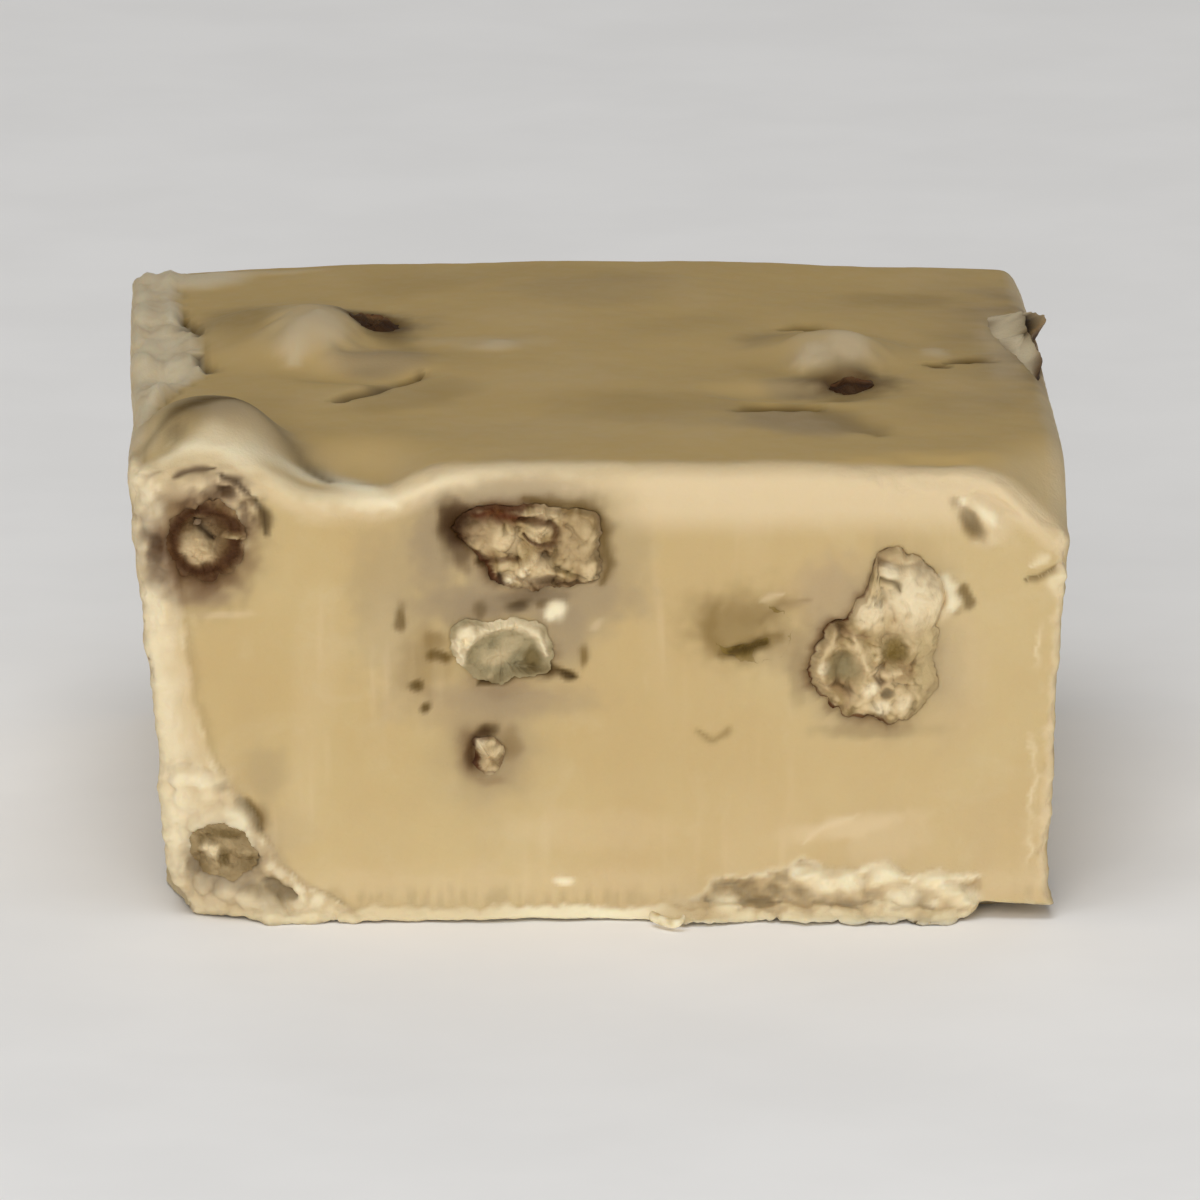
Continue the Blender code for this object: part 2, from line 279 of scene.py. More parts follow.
def panel(ids, across, up, flipped=False):
    """Polygons of `across` by `up` cells over a grid of points, with all those of its rim."""
    last_a, last_b = ids.shape[0] - 1, ids.shape[1] - 1
    polygons = []
    for a in range(0, last_a, across):
        for b in range(0, last_b, up):
            far, high = a + across, b + up
            ring = [(i, b) for i in (range(a, far) if b == 0 else (a,))]
            ring += [(far, j) for j in (range(b, high) if far == last_a else (b,))]
            ring += [(i, high) for i in (range(far, a, -1) if high == last_b else (far,))]
            ring += [(a, j) for j in (range(high, b, -1) if a == 0 else (high,))]
            polygon = [ids[place] for place in ring]
            polygons.append(polygon[::-1] if flipped else polygon)
    return polygons


def block_lattice():
    """The sharp box's points, and polygons that are fine in front and coarse below."""
    sizes = (WIDTH, DEPTH, THICKNESS)
    xs, ys, zs = (lattice_lines(size, *steps) for size, steps in zip(sizes, LATTICE))
    along_x = np.arange(len(xs)) * len(ys) * len(zs)
    along_y = np.arange(len(ys)) * len(zs)
    along_z = np.arange(len(zs))
    polygons = panel(along_x[:, None] + along_z, 1, 1)
    polygons += panel(along_x[:, None] + along_y[-1] + along_z, 2, 2, flipped=True)
    polygons += panel(along_x[:, None] + along_y + along_z[-1], 2, 1)
    polygons += panel(along_x[:, None] + along_y, 4, 4, flipped=True)
    polygons += panel(along_x[-1] + along_y[:, None] + along_z, 1, 2)
    polygons += panel(along_y[:, None] + along_z, 1, 2, flipped=True)
    used, renumbered = np.unique(np.concatenate(polygons), return_inverse=True)
    ends = np.cumsum([len(polygon) for polygon in polygons])[:-1]
    polygons = [part.tolist() for part in np.split(renumbered, ends)]
    points = np.column_stack((
        xs[used // (len(ys) * len(zs))] - WIDTH / 2,
        ys[used // len(zs) % len(ys)] - DEPTH / 2,
        zs[used % len(zs)],
    ))
    return points, polygons


# ---- painting and relief


class Canvas:
    """Colour and relief laid on the points of one surface, placed in mm across and up it."""

    def __init__(self, across, up, seed, ragged=0.07, coarse=1.0, stretch=1.0):
        self.places = np.column_stack((across / stretch, up, np.full(len(across), 7.0 * seed)))

        def waves(length, number):
            return ripple(self.places, length * coarse, number)

        self.across = across + ragged * (waves(0.5, 11.3) + waves(1.3, 5.3))
        self.up = up + ragged * (waves(0.5, 17.9) + waves(1.3, 7.9))
        self.patchy = 1 + 0.45 * waves(0.8, 31.3) + 0.35 * waves(0.4, 3.3)
        self.height = np.zeros(len(across))
        self.tone = blank_tones(len(across))

    def add(self, weight, rise=0.0, wipe=0.0, **tones):
        """Lays colours over each other, `wipe` first taking off what is there."""
        self.height += rise * weight
        if wipe:
            for name in CHANNELS:
                self.tone[name] = self.tone[name] * (1 - wipe * weight)
        for name, amount in tones.items():
            self.tone[name] = 1 - (1 - self.tone[name]) * (1 - amount * weight)

    def paint(self, marks):
        for mark in marks:
            mark(self)

    def thickness(self, width):
        """The uneven width of a line."""
        return width * np.clip(self.patchy, 0.35, 1.7)

    def wash(self, **looks):
        """The same all over."""
        self.add(1.0, **looks)

    def spot(self, x, y, wide, high, turn=0.0, **looks):
        """A soft oval at x across and y up."""
        across, up = self.across - x, self.up - y
        c, s = math.cos(math.radians(turn)), math.sin(math.radians(turn))
        away = ((c * across + s * up) / wide) ** 2 + ((c * up - s * across) / high) ** 2
        away = away / np.clip(self.patchy, 0.4, 1.6)
        self.add(np.exp(-away * away / 2), **looks)

    def line(self, width, *places, **looks):
        """A smooth line through the places, soft at its sides, uneven and thin at its ends."""
        places = np.array(places, float)
        for _ in range(2):
            cut = [mix(places[:-1], places[1:], share) for share in (0.25, 0.75)]
            cut = np.stack(cut, axis=1).reshape(-1, 2)
            places = np.concatenate((places[:1], cut, places[-1:]))
        lengths = np.hypot(*np.diff(places, axis=0).T)
        starts = np.concatenate(([0.0], np.cumsum(lengths)))
        nearest, passed = np.full(len(self.across), np.inf), np.zeros(len(self.across))
        for (a, b), (c, d), length, start in zip(places, places[1:], lengths, starts):
            along = ((self.across - a) * (c - a) + (self.up - b) * (d - b)) / length**2
            along = np.clip(along, 0, 1)
            gap = np.hypot(self.across - mix(a, c, along), self.up - mix(b, d, along))
            closer = gap < nearest
            nearest[closer] = gap[closer]
            passed[closer] = start + length * along[closer]
        from_end = np.minimum(passed, starts[-1] - passed) / starts[-1]
        thick = self.thickness(width) * (0.5 + 0.5 * smooth_step(0.0, 0.25, from_end))
        self.add(np.exp(-((nearest / thick) ** 2)), **looks)

    def arc(self, x, y, radius, start, end, width, **looks):
        """Part of a circle from `start` to `end`, in degrees anticlockwise from the right."""
        across, up = self.across - x, self.up - y
        turned = (np.degrees(np.arctan2(up, across)) - start) % 360
        along = smooth_step(0, 25, np.minimum(turned, (end - start) - turned))
        gap = abs(np.hypot(across, up) - radius) / self.thickness(width)
        self.add(np.exp(-gap * gap) * along, **looks)


def maker(paint):
    """Makes marks: each keeps where it goes and how it looks until a canvas is painted."""
    return lambda *where, **looks: lambda canvas: paint(canvas, *where, **looks)


wash, spot, line, arc = map(maker, (Canvas.wash, Canvas.spot, Canvas.line, Canvas.arc))


# ---- pecan pieces


class Pecan:
    """One piece: its face, the places its rim passes, its skin and its marks.

    `marks` are those that it and the fudge share, those of the fudge and its own. `shift` moves its
    middle from the node's. `skin` is how wide the skin shows, most of all towards `skin_side` in
    degrees. `veiled` is how far fudge covers it, `grainy` how crumbled it is and how much painted
    shade its creases get, `torn` how uneven its outline is, and `squash` how much longer it is than
    high.
    """

    def __init__(self, name, face, rim, seed, marks, shift=(0, 0), skin=0.2, skin_side=None,
                 veiled=0.0, grainy=1.0, fine=False, stands=0.1, depth=2.4, torn=0.11, squash=1.0,
                 label="cut"):
        self.name, self.face, self.seed, self.label = name, face, seed, label
        self.skin, self.skin_side, self.veiled, self.grainy = skin, skin_side, veiled, grainy
        self.fine, self.stands, self.depth = fine, stands, depth
        self.torn, self.squash = torn, squash
        shared, on_fudge, own = marks
        self.fudge_marks, self.marks = shared + on_fudge, shared + own
        self.across, self.up, self.out = (np.array(way, float) for way in FACES[face])
        low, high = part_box(name)
        middle = np.array((low + high) / 2) / MM
        self.middle = (middle @ self.across + shift[0], middle @ self.up + shift[1])
        rim = sorted((math.atan2(b, a / squash) % TAU, math.hypot(a / squash, b)) for a, b in rim)
        self.rim_angles, self.rim_reach = zip(*rim)

    def outline(self, angle):
        """How far the piece reaches from its middle in each direction across its face."""
        reach = np.interp(angle % TAU, self.rim_angles, self.rim_reach, period=TAU)
        way = np.column_stack((np.cos(angle), np.sin(angle), np.full(len(angle), self.seed)))
        return reach * (1 + self.torn * crumble(way * (2.6, 2.6, 1), 1.0, 4.4, 6))

    def inside(self, across, up):
        """How far each place lies inside the outline, in mm: below 0 outside it."""
        away = np.hypot(across / self.squash, up)
        reach = self.outline(np.arctan2(up, across / self.squash))
        return (reach - away) * np.clip(reach / 2.4, 0.45, 1.0)

    def edge(self, across, up):
        """How strongly the skin and a gap show towards each place, from 0 to 1."""
        side = 0.75
        if self.skin_side is not None:
            towards = np.cos(np.arctan2(up, across) - math.radians(self.skin_side))
            side = 0.25 + 0.75 * smooth_step(-0.3, 0.8, towards)
        uneven = ripple(on_plane(across, up), 1.1, 3.3 + self.seed)
        return np.clip(side * (0.85 + 0.9 * uneven), 0, 1)


def oval(wide, high, seed):
    """The rim of an irregular oval."""
    angles = np.linspace(0, TAU, 9)[:-1] + 0.3 * seed
    uneven = 1 + 0.22 * ripple(on_plane(np.cos(angles), np.sin(angles)), 0.8, seed)
    return [(wide * k * math.cos(a), high * k * math.sin(a)) for a, k in zip(angles, uneven)]


def chunk(wide, high, seed):
    """The rim of a piece broken off unevenly."""
    chance = np.random.default_rng(100 + seed)
    angles = np.cumsum(chance.uniform(0.5, 1.3, 8))
    angles *= TAU / angles[-1]
    reach = chance.uniform(0.7, 1.12, 8)
    return [(wide * k * math.cos(a), high * k * math.sin(a)) for a, k in zip(angles, reach)]


def corner_fold(canvas):
    """A pinkish, crumbly fold of flesh over the piece in the front's upper left corner.

    The creases between its lumps get painted shade, and the lump tops painted highlights.
    """
    places = canvas.places
    lumps, fine = grains(places, 0.6, 3.7), grains(places, 0.3, 5.7)
    over = np.exp(-(((places[:, 0] - 0.6) / 1.75) ** 2 + ((places[:, 1] - 1.15) / 1.7) ** 2) ** 3)
    canvas.add(over, wipe=0.6, tan=0.45, grey=0.4)
    # Painted shade in the creases between the lumps, and painted highlights on their tops.
    canvas.add(over * smooth_step(0.85, 0.45, lumps), dark=0.35, red=0.35)
    canvas.add(over * smooth_step(0.6, 0.2, fine), dark=0.25, red=0.2)
    canvas.add(over * smooth_step(0.85, 0.98, lumps), pale=0.8)
    canvas.height += over * (0.34 * lumps + 0.12 * fine - 0.2)


# Each piece's marks are those that it and the fudge share, those of the fudge round it, and those
# of its own cut face, placed from its middle.

# A curled piece cut across: a dark red ring round a pale core, with the fold over it.
CORNER_MARKS = (), (
    corner_fold,
    spot(-0.2, 2.3, 1.0, 0.3, 15, wipe=0.5, pale=0.7, rise=0.12),
    spot(1.2, 1.3, 0.35, 0.6, 35, wipe=0.5, pale=0.7, rise=0.12),
    line(0.15, (-1.25, 2.7), (-0.7, 2.95), (-0.2, 3.05), (0.4, 3.0), dark=0.6, red=0.5, rise=-0.12),
    line(0.16, (0.65, 2.85), (1.25, 2.45), (1.7, 2.0), dark=0.75, red=0.4, rise=-0.2),
    line(0.22, (1.95, 1.75), (2.3, 1.2), (2.42, 0.75), (2.38, 0.3), dark=0.75, olive=0.5,
         rise=-0.2),
    spot(0.9, 2.1, 0.3, 0.18, -30, dark=0.6, red=0.4, rise=-0.1),
    spot(1.6, 1.0, 0.18, 0.3, dark=0.5, red=0.4, rise=-0.1),
    spot(-0.4, -0.2, 1.95, 2.0, red=0.6, dark=0.3),
    spot(-1.95, -0.5, 0.3, 0.7, dark=0.5, red=0.4, rise=-0.1),
    spot(-2.4, 0.3, 0.2, 0.3, dark=0.3, grey=0.4),
    spot(-0.5, -2.3, 1.5, 0.4, grey=0.5, tan=0.4),
), (
    arc(-0.05, 0.0, 1.25, 0, 420, 0.45, wipe=0.9, red=0.9, dark=0.76, rise=0.12),
    spot(0.0, 0.15, 0.75, 0.8, wipe=0.4, tan=0.4, dark=0.3, rise=-0.45),
    spot(-0.25, -0.45, 0.6, 0.42, -20, wipe=1.0, tan=0.3, red=0.1, pale=0.8, rise=0.5),
    spot(-0.1, 0.0, 0.28, 0.4, wipe=1.0, tan=0.5, pale=0.5, rise=0.35),
    line(0.15, (-0.45, 0.85), (0.35, 0.0), dark=0.9, rise=-0.25),
    spot(0.2, 0.8, 0.3, 0.25, tan=0.7, pale=0.2, rise=0.1),
)

# Broken blocks of flesh, with dark red skin over their left and folds of it between them. The fudge
# round them gets painted shade of the gap at their left, top, right and foot, and the dark at their
# top left is skin with painted shade of a hole.
UPPER_MARKS = (
    # Dark red skin, with painted shade of the hole at the piece's top left.
    spot(-2.95, 1.15, 0.75, 0.75, 25, red=0.6, dark=0.75, rise=-0.12),
    line(0.34, (-2.4, 1.5), (-1.6, 1.6), (-0.9, 1.45), (-0.35, 1.3), wipe=0.5, red=0.95, dark=0.3,
         rise=-0.08),
    spot(-2.95, 0.2, 0.35, 0.9, 10, dark=0.6, red=0.35),
), (
    spot(-3.9, 0.6, 0.9, 2.2, grey=0.75, tan=0.2),
    # Painted shade of the gap along the piece's left.
    spot(-3.45, 1.0, 0.4, 1.0, dark=0.45, olive=0.4, rise=-0.06),
    spot(-0.5, 2.45, 3.2, 0.8, grey=0.7),
    spot(-1.15, 2.05, 0.4, 0.22, tan=0.8, rise=0.05),
    # Painted shade of the gap along the piece's top and right.
    line(0.34, (-0.35, 2.1), (0.6, 1.95), (1.6, 1.85), (2.5, 1.65), (2.95, 1.0), (2.95, 0.1),
         (3.2, -0.6), (2.85, -1.35), olive=0.8, dark=0.35, rise=-0.05),
    # Painted shade under the piece.
    spot(0.1, -1.95, 1.3, 0.3, grey=0.5, dark=0.35, tan=0.3),
    spot(-0.6, -2.35, 0.42, 0.26, dark=0.7, olive=0.4, rise=-0.15),
    spot(0.95, -2.5, 0.35, 0.3, wipe=0.7, white=0.85, rise=0.25),
    spot(0.4, -2.55, 0.22, 0.18, tan=0.8),
    spot(-2.1, -1.6, 0.8, 1.2, grey=0.6, tan=0.2),
    spot(-1.95, -0.45, 0.3, 0.22, dark=0.8, olive=0.5, rise=-0.1),
    spot(-2.15, -2.5, 0.28, 0.35, dark=0.35, olive=0.4),
    spot(2.3, -2.2, 1.1, 1.2, grey=0.5),
), (
    spot(-2.1, 0.55, 0.6, 0.55, wipe=0.7, tan=0.5, pale=0.35, rise=0.15),
    spot(-1.0, 0.45, 0.5, 0.45, wipe=0.4, pale=0.9, rise=0.2),
    spot(1.75, 0.2, 0.85, 1.1, wipe=0.7, tan=0.4, pale=0.2, smooth=0.4, rise=0.22),
    spot(-0.1, -0.95, 1.05, 0.42, 12, wipe=0.6, pale=0.9, rise=0.24),
    spot(-0.9, -1.2, 0.24, 0.2, white=0.9, rise=0.08),
    spot(-0.3, -0.9, 0.2, 0.18, white=0.7, rise=0.08),
    spot(0.35, 0.9, 0.5, 0.3, wipe=0.5, pale=0.8, rise=0.18),
    spot(0.1, 0.45, 0.5, 0.22, -35, wipe=0.5, tan=0.3, pale=0.6, rise=0.2),
    spot(0.25, -0.5, 0.35, 0.3, wipe=0.5, pale=0.7, rise=0.18),
    spot(0.4, 1.5, 0.6, 0.22, wipe=0.5, tan=0.3, pale=0.6, rise=0.12),
    line(0.3, (1.2, 1.7), (2.0, 1.55), (2.6, 1.1), wipe=0.6, tan=0.8, olive=0.5, rise=-0.1),
    spot(2.3, -0.9, 0.4, 0.4, pale=0.6, rise=0.1),
    line(0.2, (-0.5, 1.3), (0.7, 1.2), (0.95, 0.75), (0.9, 0.15), (0.2, 0.2), (-0.35, 0.7),
         wipe=0.4, red=0.6, olive=0.3, dark=0.45, rise=-0.28),
    line(0.16, (0.9, 0.15), (0.75, -0.5), (1.3, -0.95), (2.1, -1.15), olive=0.5, dark=0.25,
         rise=-0.2),
    line(0.18, (-2.6, 0.1), (-1.8, -0.45), (-1.2, -0.3), (-0.6, -0.3), red=0.5, dark=0.35,
         rise=-0.2),
    line(0.18, (-1.4, -1.0), (-1.15, -1.6), dark=0.8, rise=-0.15),
    spot(0.7, -1.3, 0.6, 0.28, red=0.35, dark=0.6, rise=-0.2),
)

# A grey, half clear piece under a white arch, with olive specks to its left and a dark line of
# painted shadow under it.
MIDDLE_MARKS = (
    # Painted shadow under the piece, darkest at its ends.
    line(0.2, (-0.8, -1.2), (-0.25, -1.0), (0.45, -0.75), (1.4, -0.62), (2.1, -0.68), (2.9, -0.9),
         dark=0.6, olive=0.8, rise=-0.2),
    spot(-0.5, -1.15, 0.28, 0.16, dark=0.6, olive=0.6),
    spot(2.7, -0.85, 0.3, 0.17, dark=0.6, olive=0.7),
), (
    spot(-2.55, -0.05, 0.42, 0.22, olive=0.98, dark=0.4, rise=0.04),
    spot(-2.8, 0.55, 0.35, 0.3, olive=0.5, tan=0.4),
    spot(-3.5, -1.35, 0.24, 0.2, dark=0.5, olive=0.95, rise=-0.06),
    spot(-3.1, -2.25, 0.26, 0.18, 35, dark=0.5, olive=0.9, rise=-0.06),
    spot(-4.1, 1.5, 0.2, 0.5, 5, dark=0.35, olive=0.85),
    spot(-3.3, -0.4, 0.9, 1.2, -20, olive=0.4, tan=0.25),
    spot(3.35, 0.0, 0.22, 0.38, olive=0.8, dark=0.15),
    spot(3.85, 1.3, 0.3, 0.16, 20, pale=0.35),
    spot(2.5, 0.9, 0.9, 1.2, grey=0.7),
    spot(1.95, 1.6, 0.15, 0.22, wipe=0.8, white=0.9, rise=0.14),
    spot(2.2, 1.85, 0.18, 0.2, 30, wipe=0.8, white=0.85, rise=0.14),
    spot(1.95, 2.1, 0.14, 0.1, wipe=0.7, tan=0.3, pale=0.8, rise=0.08),
    spot(1.6, 2.1, 0.25, 0.15, dark=0.3, olive=0.4),
    spot(-1.6, 1.9, 1.3, 0.7, grey=0.7),
    spot(0.3, 2.1, 1.0, 0.35, grey=0.5, dark=0.15),
    spot(0.8, -1.9, 2.8, 0.6, grey=0.4, tan=0.25),
    line(0.1, (-0.2, -1.75), (1.2, -1.55), (2.8, -1.9), tan=0.4, rise=-0.03),
), (
    wash(wipe=0.4, grey=0.6),
    spot(0.3, 0.0, 1.6, 0.95, wipe=0.8, grey=0.95, olive=0.15, smooth=0.5, rise=-0.25),
    spot(1.15, -0.15, 0.35, 0.5, 15, olive=0.6, dark=0.25, rise=-0.12),
    spot(-0.35, -0.15, 0.5, 0.3, pale=0.5, rise=0.15),
    spot(0.3, 0.35, 0.5, 0.3, 20, pale=0.35, rise=0.1),
    line(0.3, (-1.4, 0.35), (-0.75, 1.05), (0.1, 1.35), (1.0, 1.25), (1.5, 0.85), (1.8, 0.0),
         wipe=0.8, white=0.75, rise=0.25),
    spot(-1.5, 0.85, 0.42, 0.36, 30, wipe=0.9, white=0.95, rise=0.25),
    spot(-1.85, 0.5, 0.22, 0.28, wipe=0.9, white=0.9, rise=0.2),
    line(0.1, (-1.6, 0.75), (-1.2, 0.55), grey=0.7, rise=-0.15),
    spot(-1.7, -0.1, 0.25, 0.35, wipe=0.6, white=0.8, rise=0.2),
)

# A little piece, dark along its left.
SMALL_MARKS = (
    arc(-0.15, 0.35, 0.8, 75, 235, 0.22, red=0.5, dark=0.55, rise=-0.12),
    spot(-0.2, 1.25, 0.4, 0.25, dark=0.65, olive=0.5, rise=-0.08),
), (
    spot(0.75, 0.65, 0.4, 0.55, tan=0.5, olive=0.45),
    spot(0.0, 0.2, 1.3, 1.4, grey=0.4),
    spot(0.0, -0.85, 0.55, 0.18, tan=0.6, olive=0.3),
), (
    line(0.22, (-0.6, 0.8), (-0.2, 0.15), (0.3, 0.5), wipe=0.8, pale=0.9, rise=0.25),
    line(0.2, (-0.2, 0.15), (-0.35, -0.35), wipe=0.8, tan=0.3, pale=0.6, rise=0.2),
    spot(-0.55, 0.75, 0.2, 0.2, white=0.5),
)

# A crumbly white end over a smoother lobe with two hollows, sinking into the fudge at its right.
RIGHT_MARKS = (), (
    spot(-2.3, 2.6, 1.1, 1.4, -30, grey=0.35, tan=0.5),
    spot(3.15, 2.6, 0.22, 0.33, 15, olive=0.98, dark=0.2, rise=-0.1),
    spot(3.35, 2.1, 0.2, 0.26, olive=0.98, dark=0.2, rise=-0.1),
    spot(2.75, 1.85, 0.3, 0.2, olive=0.5),
    spot(2.35, 2.9, 0.4, 0.4, white=0.85, rise=0.18),
    spot(2.65, 2.25, 0.25, 0.3, white=0.8, rise=0.12),
    spot(2.2, 2.0, 0.4, 0.5, pale=0.8, rise=0.1),
    spot(2.4, -0.4, 0.7, 2.4, olive=0.25, pale=0.1),
    spot(-0.6, -3.15, 2.0, 0.3, olive=0.35, grey=0.35),
    spot(-3.65, -0.6, 0.3, 1.3, grey=0.35, olive=0.3),
), (
    wash(olive=0.12),
    spot(0.9, 2.5, 1.35, 1.8, wipe=0.4, pale=0.8, rise=0.14),
    spot(1.1, 2.6, 1.0, 1.0, wipe=0.5, white=0.8, rise=0.12),
    spot(0.1, 3.6, 0.35, 0.3, wipe=0.5, white=0.95, rise=0.15),
    spot(-0.6, 1.9, 0.6, 0.5, pale=0.8, white=0.5, rise=0.12),
    line(0.17, (-0.35, 3.3), (0.35, 3.15), (0.5, 2.85), wipe=0.5, olive=0.8, dark=0.5, rise=-0.22),
    line(0.14, (-0.3, 2.9), (-0.1, 2.5), (-0.5, 2.3), olive=0.6, dark=0.3, rise=-0.18),
    line(0.34, (-2.1, 1.0), (-2.7, 0.2), (-2.9, -0.5), (-2.5, -1.3), wipe=0.3, pale=0.5, rise=0.2),
    spot(-2.6, -0.4, 0.25, 0.25, white=0.7, rise=0.06),
    spot(-1.8, -0.4, 0.62, 0.55, wipe=0.8, grey=0.9, olive=0.3, smooth=0.6, rise=-0.5),
    spot(0.35, 0.25, 0.5, 0.6, wipe=0.8, olive=0.9, grey=0.4, smooth=0.6, rise=-0.45),
    line(0.28, (-1.35, 0.85), (-0.9, -0.5), (-0.2, -0.75), (0.6, -0.6), wipe=0.5, pale=0.8,
         rise=0.24),
    spot(-0.2, -1.6, 1.3, 0.6, pale=0.6, rise=0.1),
    spot(-0.6, -1.3, 0.3, 0.25, white=0.9, rise=0.12),
    spot(-0.2, -2.1, 0.35, 0.25, white=0.8, rise=0.12),
    spot(0.7, -1.9, 0.3, 0.3, white=0.5, rise=0.08),
    spot(0.0, -1.55, 0.2, 0.16, dark=0.6, olive=0.6, rise=-0.18),
    spot(1.9, -0.6, 0.6, 2.2, wipe=0.7, pale=0.15, smooth=0.95, rise=-0.12),
    spot(2.0, 2.8, 0.6, 1.2, wipe=0.3, pale=0.8, white=0.3),
)


SUNK_VEIL = (
    spot(-0.2, 0.35, 2.3, 1.6, olive=0.3),
    spot(-0.5, 0.5, 1.7, 1.15, 10, olive=0.3),
    spot(-0.9, 0.1, 1.1, 0.85, -20, olive=0.42),
    spot(0.2, 0.75, 0.9, 0.5, 15, olive=0.25),
    spot(-0.2, 0.9, 1.2, 0.5, olive=0.15, tan=0.2),
    arc(-0.3, 0.3, 1.5, 120, 250, 0.34, olive=0.6),
)
SUNK_FOLDS = (
    line(0.18, (0.2, 0.5), (0.8, 0.95), (1.5, 1.4), (2.3, 1.4), tan=0.45, olive=0.4, rise=-0.05),
    line(0.16, (0.35, 1.45), (1.1, 1.65), pale=0.45, rise=0.04),
)


def sunk_slit(rise):
    """The slit over the sunk piece, which lifts the face by `rise` mm."""
    return (
        line(0.34, (-1.3, -0.82), (-0.6, -0.7), (0.0, -0.5), (1.1, -0.1), olive=0.75, rise=rise),
        line(0.2, (-1.0, -0.75), (-0.5, -0.66), (0.0, -0.5), (0.5, -0.4), dark=0.6, olive=0.8,
             rise=rise),
    )


# A piece that fudge has closed over, showing through it in olive, and open at one slit.
SUNK_MARKS = (), (
    *SUNK_VEIL, *sunk_slit(-0.18), *SUNK_FOLDS,
    spot(1.2, -0.6, 1.4, 0.9, grey=0.3, tan=0.2),
    arc(-1.7, -3.6, 0.75, 200, 350, 0.15, olive=0.55, rise=-0.05),
), (*SUNK_VEIL, *sunk_slit(0.0), *SUNK_FOLDS)


# Grey flesh with dark cracks, half under a torn fold.
FOOT_MARKS = (
    spot(-0.8, 0.25, 0.3, 0.2, dark=0.35, olive=0.5, rise=-0.1),
    spot(1.1, -0.6, 0.3, 0.35, dark=0.4, olive=0.5, rise=-0.12),
    spot(-1.1, -1.05, 0.45, 0.25, -20, dark=0.35, olive=0.5, rise=-0.12),
), (
    line(0.24, (1.6, -1.55), (2.2, -1.75), (2.85, -2.1), dark=0.45, olive=0.9, rise=-0.3),
    spot(0.0, -0.2, 1.75, 1.5, wipe=0.4, tan=0.6, grey=0.4),
    spot(-0.1, -1.3, 1.5, 0.5, dark=0.2, olive=0.4, red=0.2, rise=-0.1),
    spot(0.2, -1.95, 1.3, 0.3, tan=0.8, grey=0.2, rise=0.2),
    spot(2.0, -2.2, 1.2, 0.35, olive=0.4, grey=0.4, rise=0.05),
    spot(1.6, 1.2, 0.3, 0.5, grey=0.4, olive=0.3),
), (
    wash(wipe=0.4, grey=0.35, tan=0.6, olive=0.15),
    spot(-0.5, -0.1, 0.3, 0.28, wipe=0.9, pale=0.6, white=0.5, rise=0.25),
    spot(0.0, -0.3, 0.22, 0.35, dark=0.35, olive=0.5, rise=-0.15),
    spot(0.2, 0.65, 0.7, 0.2, dark=0.3, olive=0.5, rise=-0.1),
)

# Dark skin breaking through the poured top.
SKIN_MARKS = (), (
    spot(0, 0, 1.6, 1.9, dark=0.25, olive=0.5),
), (
    wash(red=0.6, dark=0.75),
    line(0.2, (-0.9, 0.3), (0.9, 0.1), wipe=0.6, red=0.7, tan=0.3, rise=0.1),
)

# A piece standing up along the top of the right side: pale flesh by the fudge, a gap painted dark
# as shade, and brown skin outside. It rises towards the back.
EDGE_MARKS = (), (
    spot(-1.0, 0.4, 6.0, 0.5, pale=0.5, tan=0.2),
), (
    wash(tan=0.5, red=0.2),
    lambda canvas: canvas.add(smooth_step(-3.0, 4.5, canvas.across), rise=1.1),
    line(0.24, (-7.0, -0.5), (-3.0, -0.05), (0.5, 0.28), (4.6, 0.48), wipe=0.9, pale=0.9, white=0.8,
         rise=0.2),
    line(0.3, (-7.0, -0.62), (-3.0, -0.65), (0.5, -0.7), (3.4, -0.75), wipe=0.9, red=0.7,
         dark=0.85),
    # The gap, painted dark as shade.
    line(0.18, (-3.0, -0.35), (0.6, -0.1), (2.2, 0.0), (3.6, 0.0), wipe=0.9, dark=1.0, olive=0.3,
         rise=-0.45),
    spot(2.6, -0.35, 1.3, 0.2, wipe=0.8, tan=0.7, pale=0.6, rise=0.2),
    spot(4.5, 0.0, 0.8, 0.8, wipe=0.9, pale=0.9, white=0.7, rise=0.4),
    spot(3.7, -0.75, 0.6, 0.22, wipe=0.6, red=0.5, dark=0.7),
)


def broken_marks(seed):
    """A piece broken across: flesh, folds of skin and a hollow, turned by its number."""
    turn = seed * GOLDEN_ANGLE
    c, s = math.cos(turn), math.sin(turn)

    def at(across, up):
        return (c * across - s * up, s * across + c * up)

    fold = at(-1.5, -0.4), at(-0.4, 0.1), at(0.1, -0.5), at(0.5, 0.5), at(1.4, 0.7)
    return (), (
        spot(*at(1.9, 0.6), 1.5, 1.2, 40 * seed, grey=0.5),
        spot(*at(-2.1, -0.9), 0.9, 1.4, 70 * seed, tan=0.4, grey=0.3),
        spot(*at(-2.6, 1.3), 0.28, 0.2, 30 * seed, olive=0.95, dark=0.3, rise=-0.06),
        spot(*at(2.9, -1.6), 0.2, 0.24, 55 * seed, olive=0.9, dark=0.3, rise=-0.05),
    ), (
        spot(*at(-1.2, 0.7), 0.9, 0.5, 25 * seed, red=0.8, dark=0.4, rise=-0.1),
        spot(*at(0.9, -0.5), 0.7, 0.5, 40 * seed, wipe=0.7, grey=0.8, olive=0.3, smooth=0.6,
             rise=-0.35),
        line(0.16, *fold, wipe=0.5, red=0.6, dark=0.6, rise=-0.25),
        spot(*at(-0.3, -0.8), 0.6, 0.4, 60 * seed, wipe=0.4, pale=0.8, rise=0.2),
        spot(*at(0.5, 0.9), 0.6, 0.35, 15 * seed, tan=0.6, rise=0.2),
    )


def broken(name, wide, high, seed, skin_side, **more):
    """A piece broken across, in the face that its node is named after."""
    face = name.split("_")[1]
    rim, marks = chunk(wide, high, seed), broken_marks(seed)
    return Pecan(name, face, rim, seed, marks, skin_side=skin_side, **more)


